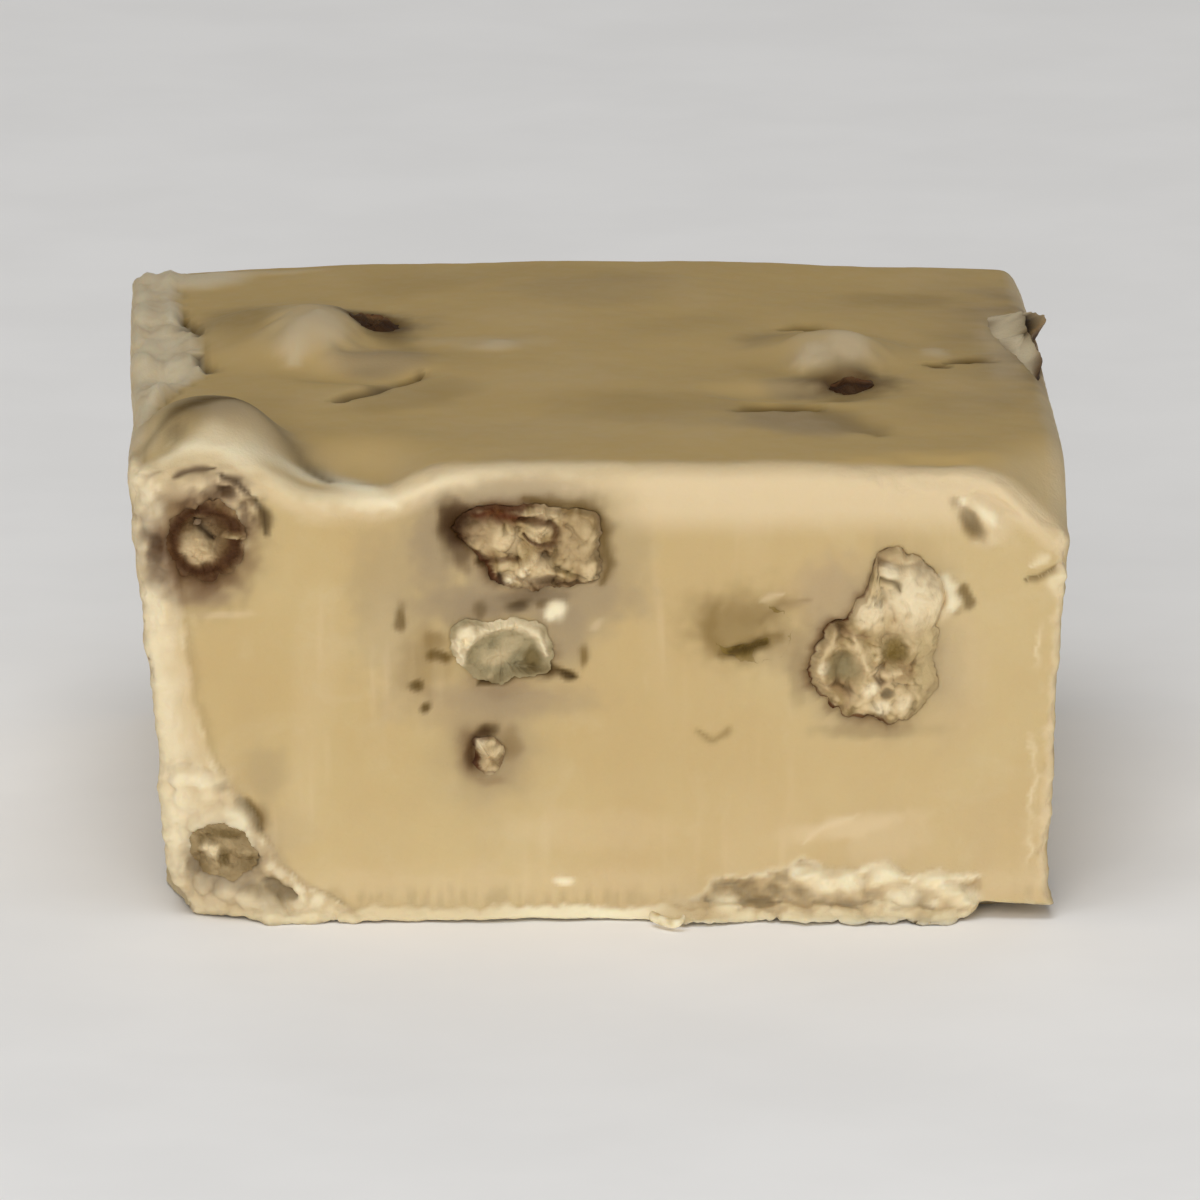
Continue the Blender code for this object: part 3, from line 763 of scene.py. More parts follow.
PECANS = (
    Pecan("pecan_front_corner", "front", oval(1.62, 1.72, 1), 1, CORNER_MARKS,
          shift=(-0.38, -0.2), skin=0.3, skin_side=250, fine=True, grainy=0.7, stands=0.0),
    Pecan("pecan_front_upper", "front",
          ((2.8, 0.2), (2.65, 1.3), (1.6, 1.7), (0.6, 1.75), (-0.3, 1.9), (-1.3, 1.85),
           (-2.6, 1.6), (-3.2, 0.9), (-2.75, 0.1), (-1.95, -0.6), (-1.5, -1.3), (-0.9, -1.6),
           (0.4, -1.55), (1.6, -1.45), (2.5, -1.3), (2.9, -0.7)),
          2, UPPER_MARKS, skin=0.16, skin_side=170, fine=True, stands=0.12, grainy=1.35),
    Pecan("pecan_front_middle", "front",
          ((2.0, -0.55), (2.1, 0.1), (1.95, 0.6), (1.6, 1.05), (1.0, 1.38), (0.1, 1.5),
           (-0.75, 1.3), (-1.5, 1.4), (-2.1, 0.9), (-2.0, 0.2), (-1.6, -0.5), (-0.7, -1.15),
           (0.5, -0.9), (1.4, -0.8)),
          3, MIDDLE_MARKS, skin=0.0, skin_side=280, veiled=0.3, fine=True, grainy=0.8),
    Pecan("pecan_front_small", "front",
          ((0.5, 0.3), (0.2, 0.85), (-0.4, 1.0), (-0.85, 0.7), (-0.85, 0.1), (-0.6, -0.6),
           (0.1, -0.6), (0.4, -0.1)),
          4, SMALL_MARKS, skin=0.1, skin_side=150, fine=True, depth=1.1, grainy=0.5),
    Pecan("pecan_front_right", "front",
          ((1.9, 0.1), (2.1, 1.4), (2.2, 2.9), (1.8, 3.9), (0.7, 4.3), (-0.4, 4.2),
           (-0.55, 3.3), (-0.85, 2.7), (-1.4, 2.0), (-2.15, 1.45), (-2.9, 0.5), (-3.3, -0.4),
           (-3.2, -1.2), (-2.6, -1.8), (-1.7, -2.35), (-0.7, -2.7), (0.3, -2.8), (1.25, -2.6),
           (1.7, -1.5)),
          5, RIGHT_MARKS, skin=0.08, skin_side=190, fine=True, stands=0.12),
    Pecan("pecan_front_sunk", "front", oval(1.7, 1.1, 6), 6, SUNK_MARKS,
          skin=0.0, veiled=1.0, grainy=0.3, fine=True, stands=-0.3),
    Pecan("pecan_left_foot", "front",
          ((1.4, -0.5), (1.0, 0.4), (0.3, 0.95), (-0.7, 0.85), (-1.3, 0.1), (-1.2, -0.8),
           (-0.3, -1.3), (0.8, -1.2)),
          7, FOOT_MARKS, skin=0.0, skin_side=300, veiled=0.5, grainy=0.6, fine=True, stands=0.0),
    broken("pecan_left_high", 3.25, 1.79, 8, 80),
    broken("pecan_left_low", 2.13, 1.79, 9, 10),
    broken("pecan_left_back", 1.57, 1.9, 10, 200),
    Pecan("pecan_right_high", "right_edge",
          ((5.2, 0.1), (4.9, 0.55), (3.0, 0.6), (0.5, 0.4), (-3.0, 0.05), (-6.4, -0.42),
           (-7.0, -0.55), (-6.4, -0.7), (-3.0, -0.8), (0.5, -0.9), (3.0, -0.9), (4.7, -0.6)),
          11, EDGE_MARKS, shift=(-1.6, 1.5), skin=0.1, skin_side=270, grainy=0.4, fine=True,
          stands=0.4, depth=2.8, torn=0.05, squash=6.0),
    broken("pecan_right_high", 1.9, 1.5, 21, 60, shift=(1.0, -2.2), label="side"),
    broken("pecan_right_front", 2.8, 1.79, 12, 260),
    broken("pecan_right_back", 2.13, 1.68, 13, 40),
    broken("pecan_back_left", 3.14, 1.79, 14, 200),
    broken("pecan_back_low", 1.79, 1.46, 15, 120),
    broken("pecan_back_right", 2.58, 2.58, 16, 330),
    Pecan("pecan_top_left", "top", oval(0.85, 2.0, 17), 17, SKIN_MARKS,
          shift=(2.25, 0.6), skin=0.5, stands=0.0, depth=1.8),
    Pecan("pecan_top_right", "top", oval(1.0, 0.95, 18), 18, SKIN_MARKS,
          shift=(0.65, -3.6), skin=0.5, stands=0.0, depth=1.4),
)


def pecan_grid(pecan):
    """The share of the reach, the share of the depth and the angle of each point, and the polygons.

    They are a cut face and a bowl behind it.
    """
    around, rings, behind = FINE_GRID if pecan.fine else PLAIN_GRID
    bowl = np.linspace(0, TAU / 4, behind + 2)[1:-1]
    shares = np.concatenate((np.linspace(0, 1, rings + 1)[1:], np.cos(bowl)))
    sinks = np.concatenate((np.zeros(rings), np.sin(bowl)))
    angles = np.linspace(0, TAU, around, endpoint=False)
    share = np.concatenate(([0.0], np.repeat(shares, around), [0.0]))
    sink = np.concatenate(([0.0], np.repeat(sinks, around), [1.0]))
    angle = np.concatenate(([0.0], np.tile(angles, len(shares)), [0.0]))
    following = (np.arange(around) + 1) % around
    polygons = [(0, 1 + i, 1 + j) for i, j in enumerate(following)]
    for ring in range(len(shares) - 1):
        low, high = 1 + ring * around, 1 + (ring + 1) * around
        polygons += [(low + i, high + i, high + j, low + j) for i, j in enumerate(following)]
    last = 1 + (len(shares) - 1) * around
    polygons += [(last + i, last + around, last + j) for i, j in enumerate(following)]
    return share, sink, angle, polygons


def surface_under(tree, pecan, across, up):
    """The fudge's surface straight under each place on the pecan's face."""
    found = np.zeros((len(across), 3))
    out = Vector(pecan.out)
    for index, (a, b) in enumerate(zip(across.tolist(), up.tolist())):
        start = Vector(pecan.across * a + pecan.up * b) + out * RAY_START
        hit = tree.ray_cast(start, -out)[0]
        if hit is None:
            hit = tree.find_nearest(start - out * NEAREST_BACK)[0]
        found[index] = hit
    return found


def pecan_relief(pecan, across, up, inside):
    """The height and the tones of the cut face: broken grains of flesh, ringed by the skin.

    The creases between the grains get painted shade, and the grain tops painted highlights.
    """
    canvas = Canvas(across, up, pecan.seed, ragged=0.1, stretch=pecan.squash)
    warp = np.column_stack([ripple(canvas.places, 0.9, 21.7 + i) for i in range(3)])
    warped = canvas.places + 0.3 * warp
    large, small = grains(warped, 1.05, 2.2), grains(warped, 0.42, 6.4)
    rough = crumble(canvas.places, 0.5, 3.1)
    edge = pecan.edge(across, up)
    bare = 1 - pecan.veiled
    # Painted shade on the slopes and in the creases between the grains, and painted highlights on
    # their tops.
    canvas.add(smooth_step(0.9, 0.5, large + 0.1 * rough) * bare, tan=0.8)
    canvas.add(smooth_step(0.62, 0.25, large) * bare * pecan.grainy, olive=0.3, dark=0.45, red=0.2)
    canvas.add(smooth_step(0.6, 0.2, small) * bare * pecan.grainy, olive=0.3, dark=0.25)
    canvas.add(smooth_step(0.8, 0.95, large) * smooth_step(0.55, 0.9, small) * bare, pale=0.7)
    canvas.add(smooth_step(0.55, 0.0, inside + 0.15 * rough) * bare, tan=0.45, grey=0.3)
    skin = pecan.skin * (0.4 + edge)
    has_skin = pecan.skin > 0
    in_skin = smooth_step(1.5 * skin, 0.5 * skin, inside + 0.08 * rough)
    canvas.add(in_skin * edge * has_skin, red=0.9, dark=0.55)
    canvas.paint(pecan.marks)
    plain = 1 - 0.8 * canvas.tone["smooth"]
    grain = pecan.grainy * plain * (0.36 * large + 0.18 * small - 0.36)
    canvas.height += grain + 0.07 * plain * rough
    settled = smooth_step(0.0, 0.2 + 0.3 * edge, inside)
    gap = np.clip(0.45 + 1.1 * ripple(canvas.places, 0.8, 13.1), 0, 1.3)
    drop = (0.04 + 0.34 * edge * has_skin) * gap
    return mix(-drop * bare, pecan.stands, settled) + canvas.height * settled, canvas.tone


def make_pecan(pecan, tree, material):
    share, sink, angle, polygons = pecan_grid(pecan)
    reach = pecan.outline(angle)
    across = pecan.squash * share * reach * np.cos(angle)
    up = share * reach * np.sin(angle)
    inside = np.maximum(pecan.inside(across, up), 0)
    height, tone = pecan_relief(pecan, across, up, inside)
    surface = surface_under(tree, pecan, across + pecan.middle[0], up + pecan.middle[1])
    height = np.where(sink > 0, height - pecan.depth * sink, height)
    points = surface + height[:, None] * pecan.out
    return new_mesh(pecan.name + "_" + pecan.label, points, polygons, material, tone)


# ---- meshes


def new_mesh(name, points, polygons, material, tone):
    mesh = bpy.data.meshes.new(name)
    mesh.from_pydata((points * MM).tolist(), [], polygons)
    mesh.shade_smooth()
    mesh.materials.append(material)
    for layer_name, channels in (("tone", CHANNELS[:4]), ("tint", CHANNELS[4:])):
        shares = np.column_stack([np.clip(tone[channel], 0, 1) for channel in channels])
        layer = mesh.attributes.new(layer_name, "FLOAT_COLOR", "POINT")
        layer.data.foreach_set("color", shares.astype(np.float32).ravel())
    obj = bpy.data.objects.new(name, mesh)
    bpy.context.scene.collection.objects.link(obj)
    return obj


def normals_of(points, polygons):
    mesh = bpy.data.meshes.new("normals")
    mesh.from_pydata(points.tolist(), [], polygons)
    found = np.zeros(len(points) * 3, np.float32)
    mesh.vertex_normals.foreach_get("vector", found)
    bpy.data.meshes.remove(mesh)
    return found.reshape(-1, 3).astype(float)


# ---- the fudge


# How far right the smeared band at the front's left reaches, at each height.
BAND_HEIGHTS = (0.0, 0.76, 1.50, 2.35, 3.42, 4.90, 6.92, 8.09, 9.68, 11.27, 13.19, 15.0, 19.5)
BAND_RIGHTS = (-9.6, -10.4, -11.94, -12.97, -13.59, -14.41, -15.85, -16.16, -16.57, -16.78,
               -16.98, -17.4, -17.8)
BAND_LEFT = -18.6
# How high the torn ledge at the front's foot reaches, at each place across.
LEDGE_PLACES = (3.0, 4.0, 4.7, 6.5, 7.8, 8.3, 8.9, 9.6, 10.5, 11.7, 12.8, 14.0, 15.3)
LEDGE_TOPS = (0.9, 1.3, 1.7, 1.85, 2.2, 2.6, 2.3, 1.8, 2.0, 2.25, 1.75, 1.95, 1.8)
# The ledge's fissures, and the middles of its lumps and hollows.
LEDGE_FISSURES = (
    ((4.4, 1.0), (5.6, 0.75), (6.6, 0.9), (7.4, 0.7)),
    ((8.7, 0.85), (9.7, 0.65), (11.0, 0.9)),
    ((12.0, 0.55), (12.8, 0.75), (13.6, 0.6)),
)
LEDGE_LUMPS = ((8.2, 2.0), (8.8, 1.75), (9.4, 1.45), (10.2, 1.6), (11.7, 1.85), (12.4, 1.0),
               (14.2, 1.3), (14.9, 0.9), (13.7, 1.6), (5.2, 0.7))
LEDGE_HOLES = ((5.9, 1.5), (7.2, 1.25), (10.1, 0.85), (11.3, 1.2), (13.2, 0.9), (8.3, 1.2))
# How far right the burr along the top's left edge reaches, at each depth.
BURR_DEPTHS = (-12.0, -5.5, -1.0, 1.6, 8.0, 12.7, 17.2)
BURR_RIGHTS = (-18.7, -17.6, -16.0, -16.3, -16.9, -17.5, -17.1)


# Stains, cracks and pits of the front cut face.
FRONT_MARKS = (
    spot(-8.4, 13.6, 1.5, 3.2, grey=0.4),
    spot(-3.0, 13.4, 4.4, 0.8, grey=0.5),
    spot(1.0, 15.5, 1.0, 2.2, grey=0.4),
    spot(-3.6, 18.05, 2.5, 0.6, wipe=0.5, grey=0.7),
    spot(-5.4, 9.2, 2.6, 1.0, grey=0.25, tan=0.3),
    spot(-13.6, 6.3, 0.8, 1.1, grey=0.35),
    spot(-12.6, 3.9, 0.8, 0.8, grey=0.15),
    spot(8.8, 14.0, 1.3, 0.8, 20, tan=0.35),
    spot(14.6, 10.4, 1.0, 3.0, tan=0.25),
    spot(-0.3, 3.8, 3.4, 0.8, -4, pale=0.2),
    spot(10.2, 3.9, 2.4, 0.4, 10, pale=0.5, rise=0.03),
    line(0.16, (8.4, 3.2), (9.1, 3.9), (10.6, 4.4), pale=0.6, rise=0.05),
    spot(11.5, 3.4, 1.6, 0.9, pale=0.3, tan=0.1),
    spot(-15.2, 13.0, 1.1, 0.16, pale=0.4),
    spot(13.6, 19.3, 3.4, 0.9, rise=-0.25),
    spot(15.16, 16.6, 0.68, 0.3, -57, olive=1.0, dark=0.4, rise=-0.5),
    spot(14.42, 17.5, 0.2, 0.22, olive=0.95, dark=0.2, rise=-0.2),
    line(0.16, (15.3, 17.9), (15.9, 17.75), (16.45, 17.4), (16.95, 17.0), olive=0.75, rise=-0.18),
    spot(15.8, 17.0, 0.5, 0.3, -45, white=0.7, rise=0.25),
    spot(16.2, 16.3, 0.7, 0.5, -45, pale=0.5, rise=0.1),
    spot(14.75, 17.6, 0.22, 0.2, white=0.7, rise=0.12),
    spot(15.72, 15.9, 0.5, 0.3, tan=0.35, pale=0.4, rise=0.08),
    line(0.16, (17.4, 14.2), (18.05, 14.4), (18.54, 14.75), (18.9, 15.05), olive=0.85, dark=0.1,
         rise=-0.25),
    spot(18.6, 14.15, 0.4, 0.4, white=0.5, rise=0.08),
    line(0.18, (17.6, 14.9), (18.3, 15.3), white=0.5, rise=0.1),
)
# Folds and cracks of the smeared band, with painted shade in the creases round its lump and low
# where the corner curves under.
BAND_MARKS = (
    spot(-16.4, 5.4, 1.35, 1.3, wipe=0.4, pale=0.6, rise=0.35),
    spot(-16.5, 6.1, 0.8, 0.3, wipe=0.5, white=0.95, rise=0.08),
    spot(-17.0, 5.0, 0.4, 0.9, white=0.5),
    spot(-14.75, 4.3, 0.4, 0.7, 35, wipe=0.5, white=0.8, rise=0.25),
    # Painted shade low where the corner curves under.
    spot(-15.9, 2.6, 1.0, 0.45, olive=0.35, dark=0.2, red=0.2),
    spot(-13.6, 1.25, 1.1, 0.3, -12, wipe=0.4, olive=0.75, dark=0.2, rise=-0.2),
    spot(-15.6, 0.9, 0.9, 0.4, wipe=0.4, tan=0.7, rise=0.15),
    # Painted shade in the creases round the lump.
    line(0.13, (-17.3, 6.6), (-16.8, 6.75), (-16.1, 6.5), (-15.6, 6.1), olive=0.75, rise=-0.2),
    line(0.18, (-15.5, 5.95), (-15.25, 5.75), olive=0.95, dark=0.2, rise=-0.25),
    line(0.19, (-14.75, 5.3), (-14.3, 4.9), (-14.0, 4.45), (-13.85, 3.95), olive=0.95, dark=0.3,
         rise=-0.35),
)
# The raised lip along the front's top edge: a whitish smear, with a painted highlight where its
# rounded edge catches the light.
LIP_MARKS = (
    line(0.2, (-17.6, 19.9), (-16.67, 19.8), (-15.4, 19.75), wipe=0.5, white=0.7, rise=0.1),
    line(0.32, (-15.4, 19.75), (-14.5, 19.4), (-13.6, 19.1), wipe=0.7, white=0.9, rise=0.1),
    line(0.5, (-13.6, 19.0), (-12.2, 18.5), (-10.4, 18.05), (-8.4, 17.65), wipe=0.8, white=1.0,
         rise=0.1),
    line(0.36, (-9.8, 17.8), (-8.2, 17.8), (-6.8, 18.4), (-5.0, 18.95), (-2.6, 19.15), (1.0, 19.2),
         wipe=0.5, pale=0.9, white=0.4, rise=0.04),
)


def smeared_band(canvas, up):
    """The band that the knife smeared down the front's left edge: white, crumbly at both ends.

    It has painted shade along its inner border, in the creases between its lumps, and low down
    where the corner curves under.
    """
    right = np.interp(up, BAND_HEIGHTS, BAND_RIGHTS)
    torn = crumble(canvas.places, 0.8, 7.3, 5)
    in_from = canvas.across - right + 0.14 * torn
    along = np.clip(1 + in_from / np.clip(right - BAND_LEFT, 1.0, 4.0), 0, 1)
    strand = ripple(canvas.places * (1, 0.2, 1) + 0.09 * canvas.up[:, None], 0.5, 4.7)
    in_band = smooth_step(0.12, -0.15, in_from)
    canvas.add(in_band, rise=0.12, wipe=0.6, pale=0.5)
    bright = smooth_step(0.95, 0.35, along + 0.2 * strand)
    canvas.add(in_band * bright, white=0.7, rise=0.12)
    canvas.add(in_band * smooth_step(0.1, 0.6, strand), white=0.4, rise=0.07)
    canvas.add(in_band * smooth_step(0.0, -0.6, strand), tan=0.5, rise=-0.06)
    # Painted shade along the band's inner border, below its raised step.
    canvas.add(ridge(in_from, 0.15, 0.22), olive=0.14, tan=0.15, rise=-0.04)
    canvas.height += in_band * 0.12 * torn
    crumbly = in_band * np.maximum(smooth_step(11.5, 14.5, up), smooth_step(7.5, 6.0, up))
    lumps = grains(canvas.places, 0.75, 5.2)
    fine = grains(canvas.places, 0.35, 9.2)
    canvas.height += crumbly * (0.4 * lumps + 0.18 * fine - 0.4)
    # Painted shade in the creases between the lumps.
    canvas.add(crumbly * smooth_step(0.85, 0.45, lumps), wipe=0.4, tan=0.5, grey=0.35, olive=0.2)
    canvas.add(crumbly * smooth_step(0.75, 0.3, fine), tan=0.5, grey=0.25)
    canvas.add(crumbly * smooth_step(0.85, 0.97, lumps), white=0.7)
    # Painted shade low on the band, where the corner curves under.
    low = smooth_step(3.4, 1.4, up + 0.3 * torn) * smooth_step(-11.5, -13.5, canvas.across)
    canvas.add(low * in_band, wipe=0.35, olive=0.25, tan=0.4, grey=0.3)
    canvas.paint(BAND_MARKS)


def torn_ledge(canvas, up):
    """The torn bottom of the front: a thin bright lip, and a thick, hollowed ledge at its right.

    There is painted shade above the lip, and in the ledge's recess, its hollows and the creases
    between its lumps.
    """
    across, places = canvas.across, canvas.places
    torn = crumble(places * (1, 1.6, 1), 1.3, 5.5, 5)
    lumps, fine = grains(places * (0.7, 1, 1), 0.6, 5.2), grains(places, 0.28, 9.2)
    level = up + 0.25 * torn
    teeth = ripple(places * (1, 0.15, 1), 0.28, 9.9)
    ledge = smooth_step(2.2, 4.6, across) * smooth_step(15.8, 15.2, across)
    thin = smooth_step(-15.5, -13.5, across) * (1 - ledge)
    uneven = 0.35 + 0.65 * ridge(across, -0.3, 4) + 0.2 * ripple(places, 2.4, 3.9)
    in_lip = smooth_step(0.75, 0.4, level - 0.12 * teeth)
    canvas.add(thin * in_lip, wipe=0.6, white=uneven, pale=0.4, rise=0.12)
    # Painted shade just above the thin lip.
    over_lip = ridge(level, 1.05, 0.4)
    canvas.add(thin * over_lip * smooth_step(-0.3, 0.4, teeth), olive=0.3, rise=-0.06)
    canvas.add(thin * ridge(level, 1.5, 0.7), pale=0.3)
    canvas.add(thin * smooth_step(0.3, 0.1, up), tan=0.5)
    top = np.interp(across, LEDGE_PLACES, LEDGE_TOPS)
    in_ledge = ledge * smooth_step(top + 0.15, top - 0.1, level)
    light = smooth_step(7.0, 11.5, across + 2 * torn)
    canvas.height += in_ledge * (0.42 * lumps + 0.2 * fine - 0.45)
    canvas.add(in_ledge, wipe=0.7, pale=0.3 + 0.4 * light, tan=0.3)
    # Painted shade in the creases between the ledge's lumps.
    canvas.add(in_ledge * smooth_step(0.9, 0.5, lumps), wipe=0.3, grey=0.5, olive=0.3)
    canvas.add(in_ledge * smooth_step(0.8, 0.35, fine), grey=0.45, tan=0.3, dark=0.06)
    # Painted shade in the recess along the ledge.
    recess = in_ledge * ridge(level, 1.15, 0.4) * (1 - 0.75 * light)
    canvas.add(recess, grey=0.4, olive=0.25, rise=-0.15)
    crumbs = smooth_step(0.88, 0.98, lumps)
    canvas.add(in_ledge * crumbs * (0.45 + 0.55 * light), wipe=0.6, white=0.95)
    canvas.add(in_ledge * smooth_step(0.8, 0.6, level), rise=0.3)
    rim = ledge * ridge(level, top, 0.16)
    canvas.add(rim * (0.4 + 0.6 * light), wipe=0.6, white=0.9, rise=0.12)
    canvas.add(in_ledge * smooth_step(0.5, 0.25, level), wipe=0.5, white=0.8)
    for fissure in LEDGE_FISSURES:
        canvas.line(0.12, *fissure, olive=0.6, dark=0.35, rise=-0.2)
    for lump in LEDGE_LUMPS:
        canvas.spot(*lump, 0.55, 0.34, wipe=0.9, white=0.98, rise=0.26)
    # Painted shade in the ledge's hollows.
    for hole in LEDGE_HOLES:
        canvas.spot(*hole, 0.36, 0.15, grey=0.5, olive=0.45, dark=0.12, rise=-0.15)
    canvas.spot(-1.44, 1.67, 0.3, 0.16, white=0.9, rise=0.1)


def cut_face(canvas, up, sideways, level):
    """What the knife leaves on every cut face: drag marks, a rolled lip that is whitish with a
    painted highlight, and torn edges.

    `sideways` and `level` are where the point was on the sharp box, across and up.
    """
    places = canvas.places
    drag = ripple(places * (1, 0.1, 1), 0.4, 2.7)
    broad = ripple(places * (1, 0.3, 1), 2.6, 6.1)
    canvas.height += 0.012 * drag + 0.03 * crumble(places, 3.0, 5.1, 5)
    canvas.add(smooth_step(0.2, 0.75, drag) * smooth_step(-0.2, 0.5, broad), pale=0.2)
    canvas.add(smooth_step(0.1, 0.6, broad), pale=0.16)
    canvas.add(smooth_step(0.1, 0.6, -broad), tan=0.18)
    canvas.add(smooth_step(8, 1.5, up), pale=0.12)
    torn = crumble(places, 1.0, 8.3, 5)
    from_side = abs(sideways).max() - abs(sideways)
    at_side = np.exp(-from_side / 0.45)
    tooth = np.clip(ripple(places * (0.2, 1, 1), 0.75, 3.1), 0, 1)
    tooth *= np.clip(0.35 + 1.3 * ripple(places, 3.0, 15.1), 0, 1)
    rough = 0.25 * crumble(places, 0.9, 1.3, 5) + 0.5 * tooth
    canvas.height += at_side * rough + 0.16 * np.exp(-up / 0.5) * torn
    canvas.add(smooth_step(0.3, 0.7, at_side + 0.25 * torn), pale=0.7)
    canvas.add(smooth_step(0.3, 0.7, at_side) * tooth, white=0.7)
    inner = ridge(from_side - 0.8 + 0.3 * torn, 0, 0.12) * smooth_step(14, 11, up)
    canvas.add(inner * np.clip(0.5 + 1.5 * ripple(places, 1.7, 9.1), 0, 1), white=0.4, rise=0.04)
    canvas.add(smooth_step(0.55, 0.2, up + 0.2 * torn), pale=0.6)
    # The rolled lip: whitish, with a painted highlight.
    below_lip = THICKNESS - level + 0.22 * crumble(places * (1, 2, 1), 2.2, 3.3)
    canvas.add(smooth_step(1.7, 0.9, below_lip), pale=0.6, rise=0.04)


def front_face(canvas, up, sideways, level):
    cut_face(canvas, up, sideways, level)
    canvas.add(smooth_step(-6, 14, canvas.across), pale=0.12)
    canvas.add(smooth_step(15.9, 17.4, up) * smooth_step(-0.5, 2.5, canvas.across), pale=0.85)
    smeared_band(canvas, up)
    torn_ledge(canvas, up)
    canvas.paint(FRONT_MARKS)
    canvas.paint(LIP_MARKS)


def side_face(face, seed):
    """Paints a face with what the knife leaves, and with a few cracks and stains of its own."""

    def paint(canvas, up, sideways, level):
        cut_face(canvas, up, sideways, level)
        chance = np.random.default_rng(seed)
        for _ in range(4):
            middle = chance.uniform((-15, 3), (15, 16))
            size, turn = chance.uniform(0.8, 2.2, 2), chance.uniform(0, 180)
            canvas.spot(*middle, *size, turn, grey=0.3)
            middle = chance.uniform((-16, 3), (16, 16))
            size, turn = chance.uniform(0.6, 2.0, 2), chance.uniform(0, 180)
            canvas.spot(*middle, *size, turn, tan=0.3)
            a, b = chance.uniform((-16, 2), (16, 17))
            turn, length = chance.uniform(0, TAU), chance.uniform(0.5, 1.1)
            c, d = a + length * math.cos(turn), b + length * math.sin(turn)
            crack = (a, b), (c, d), (c + length, d + 0.3)
            canvas.line(0.12, *crack, olive=0.6, dark=0.1, rise=-0.15)
            turn = chance.uniform(0, 180)
            canvas.spot(a + 0.6, b - 0.4, 0.5, 0.25, turn, pale=0.5, rise=0.12)
            speck = chance.uniform((-16, 3), (16, 16))
            canvas.spot(*speck, 0.2, 0.16, olive=0.9, dark=0.3, rise=-0.05)
        if face == "left":
            from_front = canvas.across.max() - canvas.across
            burr = ridge(from_front, 0, 1.3) * smooth_step(8, 10.5, up) * smooth_step(20.5, 18, up)
            canvas.add(burr, wipe=0.4, white=0.6, rise=0.42)

    return paint


